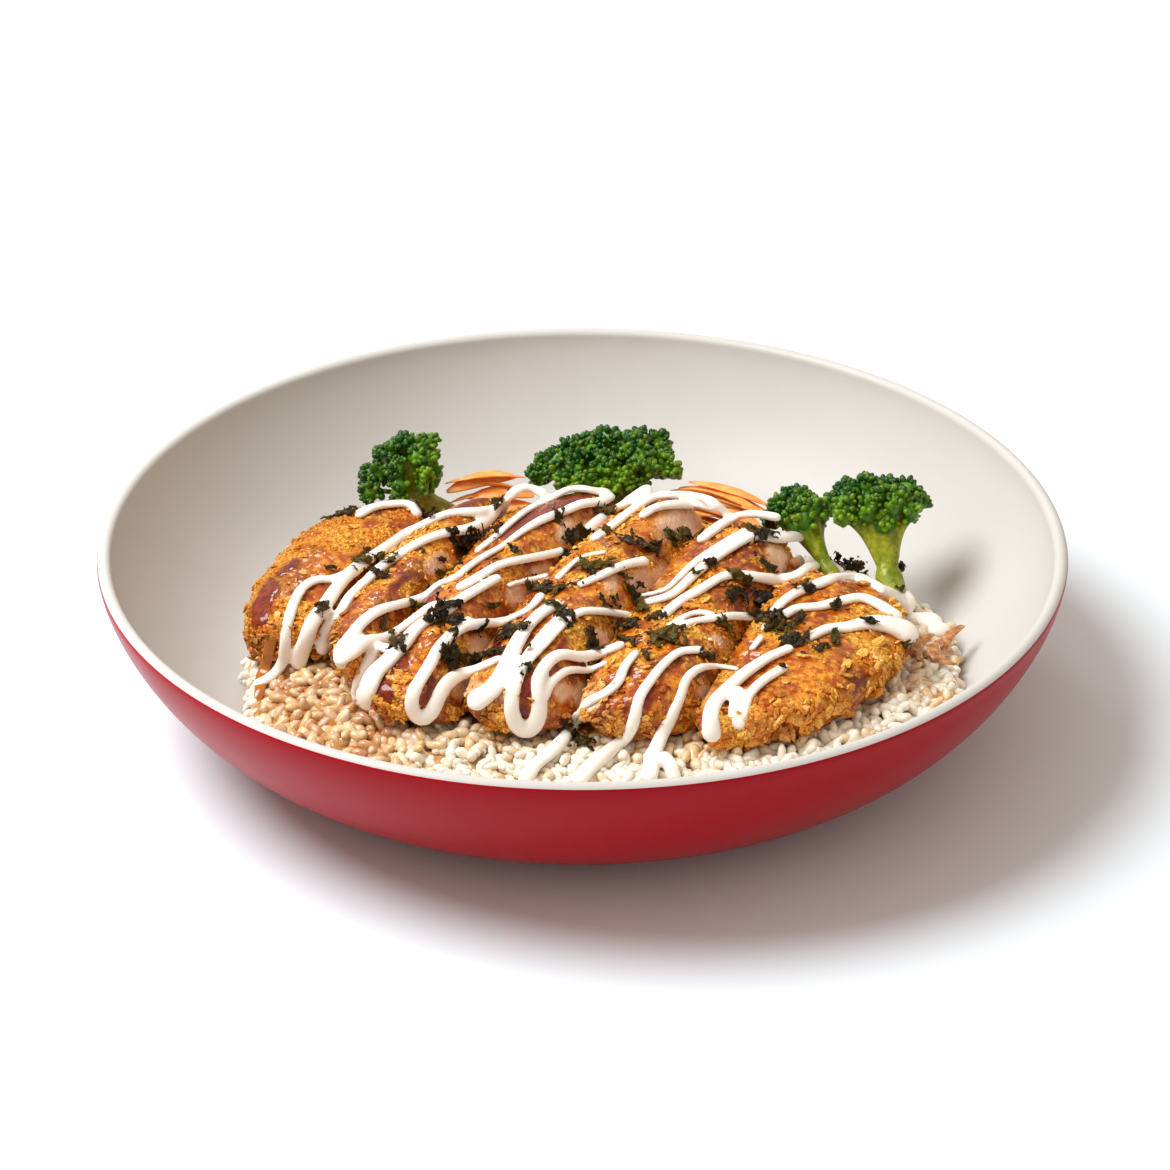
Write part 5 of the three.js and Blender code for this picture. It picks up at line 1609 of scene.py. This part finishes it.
# Carrot shreds and onion
def build_shreds(heap):
    """A loose heap of curved strips, pointed at both ends, the upper ones closer to its middle line."""
    random = np.random.default_rng(heap["seed"])
    ground = float(rice_top(*heap["at"]))
    bodies = []
    for i in range(heap["count"]):
        layer = i / (heap["count"] - 1)
        spread = mix(1.0, HEAP_NARROWING, layer)
        angle = math.radians(heap["turn"] + random.uniform(-SHRED_TURN, SHRED_TURN))
        x = heap["at"][0] + random.uniform(-0.5, 0.5) * heap["half"][0]
        y = heap["at"][1] + random.uniform(-0.9, 0.9) * heap["half"][1] * spread
        centre = np.array([x, y, mix(ground + HEAP_BASE, heap["top"], math.sqrt(layer))])
        reach = heap["length"] * random.uniform(*SHRED_REACH)
        axis = np.array([math.cos(angle), math.sin(angle), random.uniform(-0.1, 0.1)])
        bend = random.uniform(-SHRED_BEND, SHRED_BEND) * reach
        across = np.array([-axis[1], axis[0], 0])
        route = [centre + axis * t * reach + across * bend * t * t + [0, 0, -SHRED_SAG * t * t]
                 for t in STATIONS]
        path = spline(route, SHRED_STEP)
        t = np.linspace(0, 1, len(path))
        half = 0.5 * heap["width"] * (0.12 + 0.88 * np.sin(np.pi * mix(0.04, 0.96, t)) ** 0.7)
        roll = random.uniform(-0.6, 0.6)
        side = across * math.cos(roll) + np.array([0, 0, math.sin(roll)])
        bodies.append(tube(path, half, half * SHRED_THICKNESS / heap["width"], SHRED_AROUND, side))
    add_piece(heap["name"] + "_strips", *joined(bodies), carrot_flesh(), "carrot", heap["name"])


def build_onion(onion):
    turn = math.radians(onion["turn"])
    cos, sin = math.cos(turn), math.sin(turn)
    at = onion["at"]
    route = []
    for t in STATIONS:
        x, y = t * onion["length"] / 2, onion["curl"] * 2 * (1 - t * t)
        route.append((at[0] + x * cos - y * sin, at[1] + x * sin + y * cos, at[2] + ONION_RISE * t))
    path = spline(route, ONION_STEP)
    t = np.linspace(0, 1, len(path))
    half = 0.5 * onion["width"] * (0.55 + 0.45 * np.sin(np.pi * t)) * 0.92
    points, faces = tube(path, half, half * ONION_FLATNESS, ONION_AROUND, [-sin, cos, 0])
    lumps = ONION_LUMP_HEIGHT * layered(points, ONION_LUMP, 2, 4)
    points = points + vertex_normals(points, faces) * lumps[:, None]
    add_piece(onion["name"] + "_strip", points, faces, browned_onion(), "onion", onion["name"])


def build_bead(ground):
    points, faces = ball(3)
    points = points * (1 + 0.06 * layered(points * 3, 2, 2, 1))[:, None] * BEAD_HALF_SIZES
    points = points + [*BEAD_PLACE, ground.height(*BEAD_PLACE) + BEAD_LIFT]
    add_piece("golden_bead", points, faces, browned_onion(), "onion")


# Table, light and camera
def build_table():
    count = TABLE_SQUARES + 1
    at = np.linspace(-TABLE_HALF_WIDTH, TABLE_HALF_WIDTH, count)
    x, y = np.meshgrid(at, at)
    points = np.stack([x.ravel(), y.ravel(), np.full(x.size, -TABLE_DROP)], 1)
    i = np.arange(TABLE_SQUARES)
    a = (i[:, None] * count + i[None, :]).ravel()
    mesh = new_mesh("table", points, np.stack([a, a + 1, a + count + 1, a + count], 1))
    paint = Paint("pale_table", Roughness=0.6)
    paint.set("Base Color", paint.mix(paint.noise(60), tone("table"), tone("light_table")))
    mesh.materials.append(paint.material)
    table = new_object("table", mesh)


def aimed(name, data, place, target):
    """A light or a camera at its place, aimed at a target."""
    thing = new_object(name, data)
    thing.location = place
    thing.rotation_euler = (Vector(target) - thing.location).to_track_quat("-Z", "Y").to_euler()
    return thing


def add_camera():
    data = bpy.data.cameras.new("camera")
    data.sensor_width = SENSOR_WIDTH
    data.lens = CAMERA_LENS
    bpy.context.scene.camera = aimed("camera", data, Vector(EYE) * MM, Vector(CAMERA_TARGET) * MM)


def add_lights():
    for light in LIGHTS:
        data = bpy.data.lights.new(light["name"], "AREA")
        data.shape = "DISK"
        data.size = light["size"]
        data.energy = light["energy"]
        data.color = light["colour"]
        aimed(light["name"], data, light["place"], LIT_PLACE)
    world = bpy.data.worlds.new("studio")
    world.use_nodes = True
    background = world.node_tree.nodes["Background"]
    background.inputs["Color"].default_value = SKY_COLOUR
    background.inputs["Strength"].default_value = SKY_STRENGTH
    bpy.context.scene.world = world
    bpy.context.scene.view_settings.view_transform = "Standard"


add_camera()
add_lights()
build_table()
build_bowl()
rice = rice_shape()
slices = [slice_shape(k) for k in range(len(SLICES))]
slice_bodies = [(s["points"], s["faces"]) for s in slices]
build_rice_core(*rice)
grains = build_grains(Ground(slice_bodies))
build_slices(slices)
build_crumbs(slices)
food = [rice, *grains, *slice_bodies]
mayo = mayo_shape(Ground(food))
add_piece("mayonnaise_strands", *mayo, mayonnaise(), "mayonnaise")
build_run(Ground(food))
build_seaweed(Ground([*food, mayo]))
for floret in FLORETS:
    build_floret(floret)
for heap in SHREDS:
    build_shreds(heap)
for onion in ONIONS:
    build_onion(onion)
build_bead(Ground(slice_bodies))
